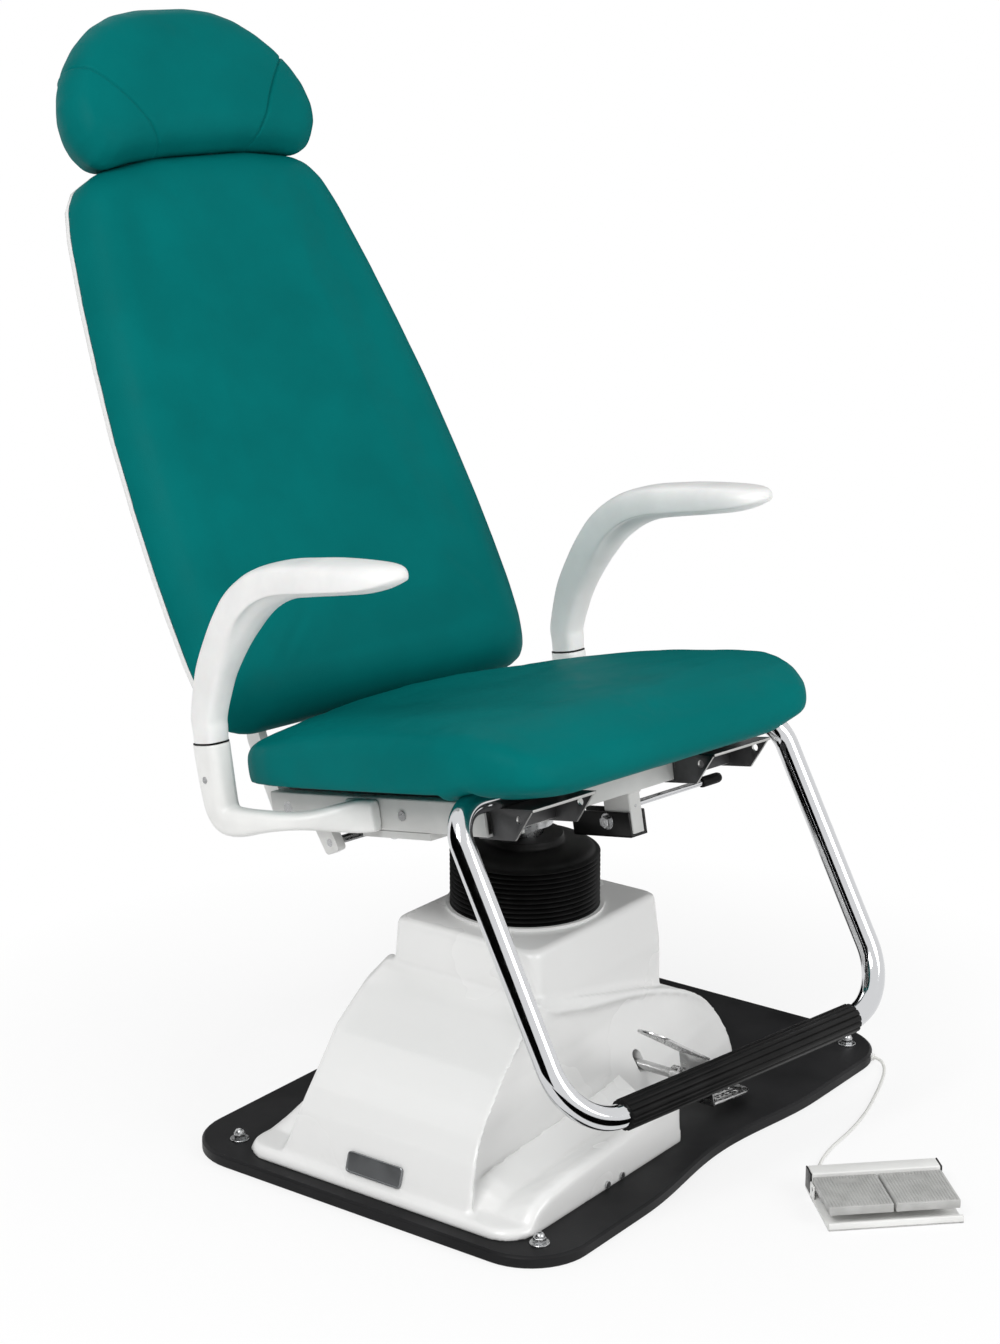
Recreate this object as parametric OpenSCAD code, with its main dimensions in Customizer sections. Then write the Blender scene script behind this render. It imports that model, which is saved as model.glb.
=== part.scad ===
/* [Floor plate] */
// Width of the floor plate
plate_w = 760; // [680:10:840]
// Reach of the floor plate in front of the column
plate_front = 306; // [280:2:340]
// Reach of the floor plate behind the column
plate_back = 230; // [210:2:270]
// Thickness of the floor plate
plate_t = 14; // [10:1:20]
// Corner radius of the floor plate
plate_corner_r = 75; // [50:5:95]
// Depth of the waist in the front edge
waist_depth = 18; // [0:1:30]
// Half width of the waist
waist_half_w = 190; // [120:5:220]

/* [Floor bolts] */
// Distance of the bolts from the middle plane
bolt_x = 334; // [325:1:342]
// Distance of the front bolts from the column
bolt_front_y = 264; // [258:1:270]
// Distance of the back bolts from the column
bolt_back_y = 170; // [165:1:180]
// Shank diameter of the bolts
bolt_d = 8; // [6:1:10]
// Clearance of the bolts in their holes
bolt_gap = 0.5; // [0.2:0.1:1]
// Outer diameter of the washers
washer_d = 22; // [18:1:26]
// Thickness of the washers
washer_t = 2; // [1:0.5:3]
// Width across the flats of the cap nuts
nut_flats = 13; // [11:1:17]
// Height of the hexagon of the cap nuts
nut_h = 6; // [5:0.5:8]
// Diameter of the dome of the cap nuts
nut_dome_d = 12; // [10:0.5:13]

/* [Base cover] */
// Wall of the moulded cover
cover_wall = 4; // [3:0.5:6]
// Height of the top of the cover above the floor
cover_top = 246; // [230:2:260]
// Half width of the box at the top of the cover
box_half_w = 131; // [120:1:140]
// Reach of the box in front of the column
box_front = 109; // [102:1:120]
// Reach of the box behind the column
box_back = 100; // [98:1:115]
// Corner radius of the box
box_corner_r = 18; // [10:1:30]
// Height at which the sides of the cover begin to spread
shoulder_z = 186; // [170:2:200]
// Growth of the box from its top down to the shoulder
box_draft = 7; // [2:1:12]
// Height of the upright skirt on the floor plate
skirt_h = 12; // [10:1:20]
// Reach of the skirt on the pump side
foot_pump_side = 360; // [345:1:366]
// Reach of the skirt on the pedal side
foot_pedal_side = 206; // [195:1:215]
// Reach of the body behind the column at the floor
foot_back = 150; // [140:1:158]
// Reach of the body in front of the column at the floor
foot_front = 176; // [165:1:185]
// Corner radius of the skirt
skirt_corner_r = 40; // [20:2:60]
// Reach of the front ledge in front of the column
ledge_front = 250; // [240:1:256]
// Distance of the end of the ledge from the middle plane
ledge_end = 30; // [24:1:40]
// Height of the ledge at its high end above the floor
ledge_top = 98; // [80:2:110]
// Radius of the hole for the pedal shaft
shaft_hole_r = 11; // [9:0.5:14]

/* [Cover details] */
// Width of the bare name plate
badge_w = 78; // [60:2:90]
// Height of the bare name plate
badge_h = 24; // [18:1:30]
// Thickness of the bare name plate
badge_t = 1.6; // [1:0.2:3]
// Head diameter of the cover screws
cover_screw_d = 8; // [6:1:10]
// Head height of the cover screws
cover_screw_h = 2; // [1:0.5:3]

/* [Lift column] */
// Diameter of the lifting rod
rod_d = 42; // [36:1:48]
// Radial running clearance of the rod in its bush
rod_gap = 0.05; // [0.02:0.01:0.1]
// Outer diameter of the bush
bush_d = 60; // [56:1:64]
// Length of the bush
bush_h = 60; // [40:2:80]
// Outer diameter of the column tube
column_d = 76; // [72:1:82]
// Side of the square foot of the column
column_foot_w = 150; // [130:2:170]
// Thickness of the foot of the column
column_foot_t = 12; // [8:1:16]
// Head diameter of the foot screws of the column
column_screw_d = 16; // [12:1:20]
// Head height of the foot screws of the column
column_screw_h = 9; // [6:1:12]
// Visible length of the rod above the bellows
rod_show = 13; // [10:1:30]
// Diameter of the head flange of the rod
head_d = 68; // [60:2:80]
// Thickness of the head flange of the rod
head_t = 10; // [8:1:14]

/* [Bellows] */
// Outer diameter of the bellows
bellows_d = 182; // [160:2:190]
// Number of folds of the bellows
fold_count = 12; // [8:1:16]
// Height of one fold at rest
fold_pitch = 6; // [5:0.5:7]
// Depth of the folds
fold_depth = 7; // [4:0.5:10]
// Wall of the bellows
bellows_wall = 3; // [2:0.5:4]
// Rise of the domed top of the bellows
dome_h = 10; // [6:1:16]
// Outer diameter of the neck of the bellows
neck_d = 94; // [84:2:100]
// Height of the neck of the bellows
neck_h = 10; // [8:1:14]
// Height of the clamping ring at the foot of the bellows
foot_ring_h = 4; // [3:0.5:6]
// Width of the clamping ring at the foot of the bellows
foot_ring_w = 5; // [4:0.5:8]

/* [Pump] */
// Length of the oil tank of the pump
tank_l = 110; // [90:5:120]
// Width of the oil tank of the pump
tank_w = 120; // [90:5:130]
// Height of the oil tank of the pump
tank_h = 70; // [60:2:76]
// Diameter of the pump motor
motor_d = 66; // [50:2:70]
// Length of the pump motor
motor_l = 90; // [70:5:94]
// Diameter of the pressure pipe
pipe_d = 10; // [8:1:12]

/* [Rocker pedal] */
// Distance of the pedal shaft from the middle plane
pedal_x = 24; // [20:1:28]
// Height of the pedal shaft above the floor
pedal_z = 68; // [64:1:72]
// Diameter of the pedal shaft
pedal_shaft_d = 12; // [10:1:14]
// Radial running clearance of the pedal shaft
pedal_shaft_gap = 0.05; // [0.02:0.01:0.1]
// Distance of the front edge of the pedal from the column
pedal_front = 257; // [254:1:262]
// Width of the pedal wings from front to back
pedal_w = 42; // [34:1:48]
// Sheet thickness of the pedal
pedal_t = 3; // [2:0.5:4]
// Height of the upright panel between the wings
pedal_panel_h = 64; // [56:1:68]
// Lean of the upright panel at rest
pedal_panel_lean = 12.5; // [8:0.5:14]
// Height of the upper fold of the pedal above its shaft
pedal_fold_h = 34.5; // [31:0.5:36]
// Length of the upper wing
upper_wing_l = 124; // [110:2:130]
// Rise of the upper wing at rest
upper_wing_rise = 32; // [28:1:34]
// Length of the lower wing
lower_wing_l = 92; // [80:2:100]
// Fall of the lower wing at rest
lower_wing_fall = 9; // [6:1:10]
// Length of the slots in the wings
slot_l = 12; // [8:1:16]
// Width of the slots in the wings
slot_w = 4; // [3:0.5:5]
// Outer diameter of the boss on the pedal
pedal_boss_d = 22; // [18:1:26]
// Length of the boss on the pedal
pedal_boss_l = 14; // [10:1:20]
// Thickness of the bearing block of the pedal shaft
bearing_t = 24; // [16:1:30]
// Width of the bearing block of the pedal shaft
bearing_w = 44; // [32:1:50]

/* [Foot switch] */
// Width of the foot switch
switch_w = 154; // [140:2:170]
// Depth of the foot switch
switch_d = 108; // [100:2:120]
// Height of the rear housing of the foot switch
switch_h = 28; // [26:1:32]
// Depth of the rear housing of the foot switch
switch_bar_d = 22; // [18:1:26]
// Thickness of the base sheet of the foot switch
switch_base_t = 3; // [2:0.5:4]
// Height of the front lip of the base sheet
switch_lip_h = 9; // [6:1:10]
// Thickness of the front lip of the base sheet
switch_lip_t = 4; // [3:0.5:6]
// Thickness of the end caps of the rear housing
switch_cap_t = 2; // [1:0.5:3]
// Gap between the two foot switch pedals
tread_gap = 3; // [2:0.5:5]
// Depth of the foot switch pedals
tread_d = 76; // [70:1:77]
// Height of the top of the foot switch pedals
tread_top = 26; // [24:1:28]
// Height of the skirt of the foot switch pedals
tread_skirt_h = 10; // [8:0.5:11]
// Wall of the foot switch pedals
tread_wall = 2; // [1.5:0.25:2.5]
// Pitch of the ribs on the foot switch pedals
rib_pitch = 3.6; // [3:0.1:5]
// Height of the ribs on the foot switch pedals
rib_h = 0.8; // [0.4:0.1:1.2]
// Play of the foot switch pedals on their pin
switch_pin_gap = 0.05; // [0.02:0.01:0.1]
// Diameter of the pivot pin of the foot switch
switch_pin_d = 5; // [4:0.5:6]
// Height of the pivot pin of the foot switch
switch_pin_z = 14; // [12:0.5:15]
// Distance of the foot switch to the side of the column
switch_x = 8; // [-40:2:60]
// Distance of the foot switch in front of the column
switch_y = 506; // [500:2:600]
// Turn of the foot switch on the floor
switch_turn = 45.7; // [0:0.1:60]

/* [Switch cord] */
// Diameter of the foot switch cord
cord_d = 4; // [3.5:0.5:5]
// Distance of the cord outlet from the side edge of the floor plate
cord_exit_in = 49; // [44:1:56]
// Lift of the cord above the floor
cord_lift = 0.2; // [0.1:0.1:0.5]
// Outer diameter of the cord grommet
grommet_d = 9.6; // [9:0.1:11]
// Length of the cord grommet
grommet_l = 18; // [14:1:24]

/* [Seat carrier] */
// Turn of the seat about the column at rest
seat_turn = 9.8; // [0:0.1:45]
// Rise of the front of the seat
seat_tilt = 11.4; // [8:0.1:12]
// Diameter of the swivel hub
hub_d = 80; // [72:2:90]
// Height of the swivel hub on the column axis
hub_h = 17; // [16:1:24]
// Length of the swivel spigot
spigot_l = 40; // [30:2:50]
// Running gap under the swivel hub
hub_gap = 0.3; // [0.2:0.1:0.5]
// Diameter of the swivel spigot
spigot_d = 30; // [24:1:34]
// Thickness of the carrier plate
carrier_t = 8; // [6:1:10]
// Length of the carrier plate from front to back
carrier_l = 120; // [100:2:130]
// Width over the side rails
frame_w = 410; // [400:2:420]
// Height of the side rails
rail_h = 39; // [34:1:44]
// Width of the side rails
rail_w = 30; // [26:1:34]
// Wall of the rails
rail_wall = 3; // [2:0.5:4]
// Reach of the carrier frame in front of the column
frame_front = 156; // [150:1:165]
// Reach of the side rails behind the column
frame_back = 225; // [220:1:235]
// Distance of the rear cross rail behind the column
rear_rail_y = 80; // [70:1:85]
// Diameter of the rail screws
rail_screw_d = 12; // [10:1:14]

/* [Front brackets] */
// Width of a front bracket
bracket_w = 98; // [90:1:110]
// Drop of the front brackets below the frame
bracket_drop = 4; // [3:0.5:6]
// Sheet thickness of the front brackets
bracket_t = 3; // [2:0.5:4]
// Height of the ears of the front brackets
ear_h = 36; // [32:1:38]
// Length of the chamfer of the ears
ear_chamfer = 35; // [30:1:40]
// Radius of the holes in the ears
ear_hole_r = 4.5; // [3:0.5:6]
// Distance of the ear holes in front of the frame
ear_hole_y = 46; // [44:1:48]
// Height of the ear holes above the lower edge
ear_hole_z = 24; // [20:1:26]

/* [Seat] */
// Thickness of the seat board
board_t = 21; // [17:1:24]
// Width of the seat board
board_w = 380; // [340:5:386]
// Width of the seat cushion
seat_w = 534; // [500:2:540]
// Reach of the seat cushion in front of the column
seat_front = 273; // [260:1:290]
// Reach of the seat cushion behind the column
seat_back = 245; // [235:1:248]
// Thickness of the seat cushion at the front
seat_t = 71; // [64:1:76]
// Drop of the front roll below the seat board
roll_drop = 21; // [12:1:24]
// Rounding of the edges of the seat cushion
seat_edge_r = 24; // [16:2:30]

/* [Foot bar] */
// Diameter of the foot bar tube
bar_d = 28; // [25:1:30]
// Wall of the foot bar tube
bar_wall = 2; // [1.5:0.5:3]
// Width of the foot bar between its legs
bar_w = 536; // [520:2:560]
// Length of the legs of the foot bar
bar_l = 372; // [350:2:380]
// Lean of the legs against the seat frame
bar_lean = 20; // [16:0.5:22]
// Radius of the lower bends
bar_bend_r = 75; // [60:1:90]
// Radius of the upper bends
bar_top_bend_r = 42; // [36:1:50]
// Distance of the upper ends in front of the frame
bar_top_y = 16; // [14.5:0.5:20]
// Outer diameter of the rubber sleeve
sleeve_d = 36; // [34:1:42]
// Number of grooves around the rubber sleeve
sleeve_grooves = 14; // [10:2:18]
// Depth of the grooves of the rubber sleeve
sleeve_groove = 1.5; // [1:0.25:2]

/* [Release lever] */
// Width of the lever post
post_w = 20; // [16:1:24]
// Depth of the lever post
post_d = 44; // [36:1:48]
// Length of the lever post below the frame
post_h = 50; // [40:1:56]
// Distance of the lever post from the middle plane
post_x = 27; // [24:1:34]
// Diameter of the release lever
lever_d = 8; // [6:1:10]
// Length of the release lever
lever_l = 150; // [120:5:160]
// Diameter of the lever grip
lever_grip_d = 13; // [11:1:15]
// Length of the lever grip
lever_grip_l = 34; // [26:1:40]
// Height of the release lever below the frame
lever_drop = 18; // [14:1:18]
// Length of the lever clamp from front to back
clamp_w = 96; // [80:2:100]
// Height of the lever clamp
clamp_h = 30; // [24:1:34]
// Sheet thickness of the lever clamp
clamp_t = 4; // [3:0.5:5]
// Width across the flats of the clamp bolt
clamp_bolt_flats = 13; // [10:1:17]

/* [Armrests] */
// Distance of the arm posts from the middle plane
arm_x = 296; // [292:1:304]
// Distance of the arm posts behind the column
arm_y = 203; // [196:1:208]
// Height of the arm joint above the carrier plate
arm_seam_z = 128; // [116:1:134]
// Reach of the armrest in front of its post
arm_reach = 378; // [350:2:400]
// Rise of the armrest above the arm joint
arm_rise = 190; // [170:2:200]
// Width of the armrest pad
arm_pad_w = 72; // [60:2:80]
// Thickness of the armrest post from front to back
arm_post_t = 44; // [40:1:50]
// Width of the arm casting
casting_w = 35; // [32:1:40]
// Gap at the arm joint
arm_seam_gap = 0.4; // [0.3:0.1:1]
// Diameter of the arm pivot pin
arm_pin_d = 16; // [14:1:18]
// Length of the arm pivot pin above the joint
arm_pin_l = 36; // [30:1:44]
// Radial running clearance of the arm pivot pin
arm_pin_gap = 0.05; // [0.02:0.01:0.1]
// Head diameter of the arm screws
arm_screw_d = 8; // [6:1:10]

/* [Backrest] */
// Lean of the backrest against the seat at rest
back_lean = 19; // [15:0.5:21]
// Distance of the backrest pivot behind the column
pivot_y = 195; // [190:1:198]
// Height of the backrest pivot above the carrier plate underside
pivot_z = 28; // [26:1:30]
// Diameter of the backrest pivot pins
pivot_d = 16; // [12:1:18]
// Radial running clearance of the backrest pivot pins
pivot_gap = 0.05; // [0.02:0.01:0.1]
// Distance of the lower edge of the backrest from the pivot
back_low = 106; // [105:1:116]
// Height of the backrest cushion
back_h = 736; // [700:4:780]
// Width of the backrest cushion
back_w = 527; // [500:1:530]
// Thickness of the backrest cushion
back_t = 51; // [46:1:56]
// Distance of the front of the backrest cushion from the pivot plane
back_front = 38; // [33:1:40]
// Depth of the backrest shell
shell_d = 24; // [20:1:28]
// Wall of the backrest shell
shell_wall = 4; // [3:0.5:4.5]
// Overhang of the backrest shell past the cushion
shell_lip = 1; // [0.5:0.5:3]
// Thickness of the backrest side arms
side_arm_t = 12; // [10:1:14]
// Width of the backrest side arms
side_arm_w = 26; // [22:1:28]
// Gap between the side rails and the side arms
side_arm_gap = 5; // [3:0.5:6]
// Distance of the side arms behind the pivot where they rise
side_arm_back = 52; // [50:1:58]
// Reach of the side arms up the backrest
side_arm_rise = 220; // [160:10:300]
// Distance of the gas spring pin below the pivot
crank_drop = 50; // [46:1:52]
// Distance of the gas spring pin in front of the pivot
crank_front = 25; // [20:1:28]
// Diameter of the gas spring cross bar
crank_bar_d = 10; // [8:1:12]

/* [Gas spring] */
// Distance of the gas spring from the middle plane
gas_x = 62; // [58:1:80]
// Diameter of the gas spring cylinder
gas_d = 22; // [18:1:24]
// Length of the gas spring cylinder
gas_l = 118; // [100:2:124]
// Diameter of the gas spring rod
gas_rod_d = 8; // [6:1:10]
// Radial running clearance of the gas spring rod
gas_rod_gap = 0.05; // [0.02:0.01:0.1]
// Distance of the front lug of the gas spring in front of the column
gas_lug_y = 35; // [30:1:45]
// Drop of the front lug of the gas spring
gas_lug_drop = 20; // [18:1:24]
// Outer radius of the rear eye of the gas spring
gas_eye_r = 19; // [18:0.5:21]
// Wall of the rear eye of the gas spring
gas_eye_wall = 4; // [3:0.5:5]
// Diameter of the lug pin of the gas spring
lug_pin_d = 8; // [6:1:8]

/* [Headrest] */
// Width of the headrest cushion
head_w = 378; // [360:2:400]
// Height of the headrest cushion above its widest place
head_dome = 152; // [130:2:160]
// Height of the widest place above the lower edge
head_low = 38; // [30:1:46]
// Thickness of the headrest cushion
head_cushion_t = 80; // [72:2:80]
// Distance of the front of the headrest from the pivot plane
head_front = 68; // [60:1:72]
// Gap between the backrest and the headrest cushion
head_gap = 2; // [1:0.5:5]
// Spacing of the headrest rods
head_rod_x = 60; // [45:1:80]
// Diameter of the headrest rods
head_rod_d = 12; // [10:1:14]
// Length of the headrest rods
head_rod_l = 330; // [300:5:360]
// Thickness of the headrest plate
head_plate_t = 5; // [4:0.5:6]

/* [Hidden] */
$fn = 48;
// Overrun of a cut past the face that it leaves
cut = 1;
// Gap between pieces that rest on each other
seat_gap = 0.3;
// Sides of a child of a hull
soft_fn = 28;

// Heights up the column
bush_top = cover_top + bush_h / 3;
dome_z = cover_top + fold_count * fold_pitch;
neck_z = dome_z + dome_h;
head_z = neck_z + neck_h + rod_show;
hub_z = head_z + head_t + hub_gap;
hub_top = hub_z + hub_h;
rod_z = plate_t + column_foot_t;

// Heights above the underside of the carrier plate
rail_z = carrier_t;
rail_top = carrier_t + rail_h;
cushion_z = rail_top + board_t + seat_gap;
rail_in = frame_w / 2 - rail_w;
bracket_z = rail_z - bracket_drop;
bracket_top = bracket_z + ear_h;
bar_z = bracket_top + bar_d / 2;
lever_x = post_x + post_w / 2;
lever_y = frame_front - rail_w / 2 - rail_wall;
lever_z = rail_z - lever_drop;
post_z = rail_z - post_h;
gas_z = -gas_lug_drop;

// Places on the backrest, from its pivot
back_top = back_low + back_h;
shell_y = back_t - back_front + seat_gap;
shell_back = shell_y + shell_d;
crank_y = crank_drop * sin(back_lean) - crank_front * cos(back_lean);
crank_z = -crank_drop * cos(back_lean) - crank_front * sin(back_lean);
head_z0 = back_top + head_gap;
head_back = head_cushion_t - head_front + seat_gap;
guide_y = shell_back - shell_wall - head_rod_d / 2 - shell_lip / 2;

// Points of an arc about a centre
function arc(c, r, a0, a1, n = 8) = [for (i = [0 : n])
  c + r * [cos(a0 + (a1 - a0) * i / n), sin(a0 + (a1 - a0) * i / n)]];

// The point at a distance from p towards q
function toward(p, q, r) = p + (q - p) * r / norm(q - p);

// A soft corner at p between the edges to a and b
function soft_corner(a, p, b, r, n) = let (s = toward(p, a, r), e = toward(p, b, r))
  [for (i = [0 : n]) let (t = i / n) s * (1 - t) * (1 - t) + 2 * p * t * (1 - t) + e * t * t];

// An outline with all its corners softened
function soft(pts, r, n = 4) = let (m = len(pts)) [for (i = [0 : m - 1])
  each soft_corner(pts[(i + m - 1) % m], pts[i], pts[(i + 1) % m], r, n)];

// A rectangle between two corners
function oblong(lo, hi) = [lo, [hi[0], lo[1]], hi, [lo[0], hi[1]]];

// Rings that lie level, upright across the depth, or upright across the width
function level(pts, z) = [for (p = pts) [p[0], p[1], z]];
function across(pts, y) = [for (p = pts) [p[0], y, p[1]]];

// A closed solid through rings with as many points each
module loft(rings) {
  n = len(rings[0]);
  m = len(rings);
  polyhedron(
    points = [for (r = rings) each r],
    faces = concat([[for (i = [0 : n - 1]) i]],
      [[for (i = [0 : n - 1]) (m - 1) * n + n - 1 - i]],
      [for (k = [0 : m - 2], i = [0 : n - 1]) [k * n + i, k * n + n + i, k * n + (i + 1) % n]],
      [for (k = [0 : m - 2], i = [0 : n - 1])
        [k * n + n + i, k * n + n + (i + 1) % n, k * n + (i + 1) % n]]));
}

module at_seat() {
  translate([0, 0, hub_top])
    rotate([-seat_tilt, 0, -seat_turn])
      children();
}

module at_back() {
  at_seat()
    translate([0, pivot_y, pivot_z])
      rotate([-back_lean, 0, 0])
        children();
}

module at_switch() {
  translate([-switch_x, -switch_y, 0])
    rotate([0, 0, -switch_turn])
      children();
}

module at_foot_bar() {
  at_seat()
    translate([0, -frame_front - bar_top_y, bar_z])
      rotate([-bar_lean, 0, 0])
        children();
}

module block(lo, hi) {
  translate(lo)
    cube(hi - lo);
}

module both_sides() {
  children();
  mirror([1, 0, 0])
    children();
}

// A rod along X, Y or back along Y from a point
module x_rod(p, d, l) {
  translate(p)
    rotate([0, 90, 0])
      cylinder(d = d, h = l);
}

module y_rod(p, d, l) {
  translate(p)
    rotate([-90, 0, 0])
      cylinder(d = d, h = l);
}

// A hexagon head along Z
module hexagon(flats, h) {
  cylinder(d = flats / cos(30), h = h, $fn = 6);
}

// Floor plate
waist_steps = 16;
plate_outline = concat(
  arc([-plate_w / 2 + plate_corner_r, -plate_front + plate_corner_r], plate_corner_r, 180, 270),
  [for (i = [0 : waist_steps]) let (u = 2 * i / waist_steps - 1)
    [u * waist_half_w, -plate_front + waist_depth * (1 + cos(180 * u)) / 2]],
  arc([plate_w / 2 - plate_corner_r, -plate_front + plate_corner_r], plate_corner_r, 270, 360),
  arc([plate_w / 2 - plate_corner_r, plate_back - plate_corner_r], plate_corner_r, 0, 90),
  arc([-plate_w / 2 + plate_corner_r, plate_back - plate_corner_r], plate_corner_r, 90, 180));
floor_bolts = [[-bolt_x, -bolt_front_y], [bolt_x, -bolt_front_y],
  [-bolt_x, bolt_back_y], [bolt_x, bolt_back_y]];
column_foot_edge = column_foot_w / 2 - column_screw_d / 2 - 2 * bolt_gap;
column_bolts = [for (x = [-1, 1], y = [-1, 1]) column_foot_edge * [x, y]];

// Cord outlet in the plate edge
grommet_show = grommet_l / 6;
grommet_z = plate_t / 2;
cord_exit_x = plate_w / 2 - cord_exit_in;
corner_x = cord_exit_x - plate_w / 2 + plate_corner_r;
cord_exit_y = -plate_front + plate_corner_r - sqrt(pow(plate_corner_r, 2) - pow(corner_x, 2));
cord_start = [cord_exit_x, cord_exit_y - grommet_show, grommet_z];

module floor_plate() color("dimgray") difference() {
  linear_extrude(plate_t)
    polygon(plate_outline);
  for (p = concat(floor_bolts, column_bolts))
    translate([p[0], p[1], -cut])
      cylinder(d = bolt_d + 2 * bolt_gap, h = plate_t + 2 * cut);
  y_rod(cord_start, grommet_d, grommet_l);
}

module bolt_washers() color("silver") for (p = floor_bolts)
  translate([p[0], p[1], plate_t])
    difference() {
      cylinder(d = washer_d, h = washer_t);
      translate([0, 0, -cut])
        cylinder(d = bolt_d + bolt_gap, h = washer_t + 2 * cut);
    }

module bolt_nuts() color("silver") for (p = floor_bolts)
  translate([p[0], p[1], 0]) {
    cylinder(d = bolt_d, h = plate_t + washer_t + nut_h);
    translate([0, 0, plate_t + washer_t]) {
      hexagon(nut_flats, nut_h);
      translate([0, 0, nut_h])
        sphere(d = nut_dome_d);
    }
  }

// Cover outlines: each row holds the height share from the floor plate to the shoulder, the pump
// side reach share, the front share on the pump side, the front share on the pedal side, the
// pedal side reach share and the back share, between the box and the foot
cover_shares = [[0, 0.96, 0.95, 0.97, 0.96, 0.97], [0.12, 0.9, 0.85, 1, 0.95, 0.98],
  [0.3, 0.73, 0.5, 1, 0.83, 0.93], [0.47, 0.56, 0.2, 0.68, 0.56, 0.85],
  [0.6, 0.4, 0.06, 0.42, 0.25, 0.73], [0.74, 0.22, 0, 0.2, -0.75, 0.55],
  [0.86, 0.1, 0, 0.06, -1.7, 0.38], [0.97, 0.02, 0, 0, -2.7, 0.2]];
box_edge_r = box_corner_r / 2;
function mix(a, b, t) = a + (b - a) * t;
function cover_ring(s, i) = let (z = mix(plate_t, shoulder_z, s[0]),
  near = -mix(box_half_w, foot_pump_side, s[1]), far = mix(box_half_w, foot_pedal_side, s[4]),
  back = mix(box_back, foot_back, s[5]), front = box_front + box_draft)
  level(soft([[near + i, -mix(front, foot_front, s[2]) + i], [far - i, -mix(front, foot_front, s[3]) + i],
    [far - i, back - i], [near + i, back - i]], box_corner_r), z - (s[0] == 0 ? cut * sign(i) : i));
function box_ring(z, i) = let (d = box_draft * (cover_top - z) / (cover_top - shoulder_z),
  w = box_half_w + d / 4 - i)
  level(soft(oblong([-w, -box_front - d + i], [w, box_back + d / 2 - i]), box_corner_r), z);
function ledge_ring(s, i) = let (x = -mix(ledge_end, foot_pump_side - skirt_corner_r / 2, s),
  z = mix(ledge_top, plate_t + skirt_h / 2, s) - i)
  [for (p = soft(oblong([-ledge_front + i, plate_t - cut * sign(i)], [-foot_front + ledge_front / 8, z]),
    box_edge_r / 4)) [x - i * (1 - 2 * s), p[0], p[1]]];
function skirt_ring(z, i) = level(concat(
  soft_corner([0, foot_back], [-foot_pump_side + i, foot_back - i], [-foot_pump_side + i, 0],
    skirt_corner_r, 4),
  soft_corner([-foot_pump_side + i, 0], [-foot_pump_side + i, -ledge_front + i],
    [-ledge_end, -ledge_front + i], skirt_corner_r, 4),
  [[-ledge_end - i, -ledge_front + i], [-ledge_end - i, -foot_front + i]],
  soft_corner([-ledge_end, -foot_front + i], [foot_pedal_side - i, -foot_front + i],
    [foot_pedal_side - i, 0], box_corner_r, 4),
  soft_corner([foot_pedal_side - i, 0], [foot_pedal_side - i, foot_back - i], [0, foot_back - i],
    box_corner_r, 4)), z);

module cover_solid(i) {
  loft([for (s = cover_shares) cover_ring(s, i)]);
  loft([box_ring(plate_t - cut * sign(i), i), box_ring(cover_top - box_edge_r - i, i),
    box_ring(cover_top - box_edge_r / 3 - i, i + box_edge_r / 3), box_ring(cover_top - i, i + box_edge_r)]);
  loft([for (s = [1, 0]) ledge_ring(s, i)]);
  loft([skirt_ring(plate_t - cut * sign(i), i), skirt_ring(plate_t + skirt_h * 2 / 3 - i, i),
    skirt_ring(plate_t + skirt_h - i, i + skirt_h / 3)]);
}

module base_cover() color("white") difference() {
  cover_solid(0);
  cover_solid(cover_wall);
  translate([0, 0, shoulder_z])
    cylinder(d = column_d + 2 * cover_wall, h = cover_top);
  y_rod([pedal_x, -foot_front - ledge_front / 8, pedal_z], 2 * shaft_hole_r, foot_front / 2);
}

module cover_screws() color("silver") {
  for (x = [ledge_end + ledge_front / 2, foot_pump_side - foot_front])
    y_rod([-x, -ledge_front - cover_screw_h, plate_t + skirt_h / 2], cover_screw_d, cover_screw_h);
}

// The name plate lies on the second stretch of the pump side
function pump_side(s) = [-mix(box_half_w, foot_pump_side, s[1]), mix(plate_t, shoulder_z, s[0])];
badge_run = pump_side(cover_shares[2]) - pump_side(cover_shares[1]);
badge_place = mix(pump_side(cover_shares[1]), pump_side(cover_shares[2]), 0.4);
module name_plate() color("gray")
  translate([badge_place[0], -badge_w, badge_place[1]])
    rotate([0, -atan2(badge_run[1], badge_run[0]), 0])
      block([-badge_h / 2, 0, 0], [badge_h / 2, badge_w, badge_t]);

module column_tube() color("gray") difference() {
  union() {
    translate([0, 0, plate_t])
      cylinder(d = column_d, h = bush_top - plate_t);
    block([-column_foot_w / 2, -column_foot_w / 2, plate_t],
      [column_foot_w / 2, column_foot_w / 2, plate_t + column_foot_t]);
  }
  translate([0, 0, rod_z])
    cylinder(d = bush_d, h = bush_top);
  for (p = column_bolts)
    translate([p[0], p[1], 0])
      cylinder(d = bolt_d + 2 * bolt_gap, h = cover_top);
}

module column_screws() color("silver") for (p = column_bolts)
  translate([p[0], p[1], 0]) {
    cylinder(d = bolt_d, h = rod_z + column_screw_h);
    translate([0, 0, rod_z])
      cylinder(d = column_screw_d, h = column_screw_h);
  }

module column_bush() color("goldenrod") difference() {
  translate([0, 0, bush_top - bush_h])
    cylinder(d = bush_d, h = bush_h);
  cylinder(d = rod_d + 2 * rod_gap, h = bush_top + cut);
}

tank_x = column_foot_w / 2 + bolt_d;
module oil_tank() color("slategray") {
  translate([-tank_x - tank_l, -tank_w / 2, plate_t])
    linear_extrude(tank_h)
      polygon(soft(oblong([0, 0], [tank_l, tank_w]), box_edge_r));
  x_rod([-tank_x, 0, plate_t + tank_h / 2], pipe_d, tank_x - column_d / 2);
}

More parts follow.
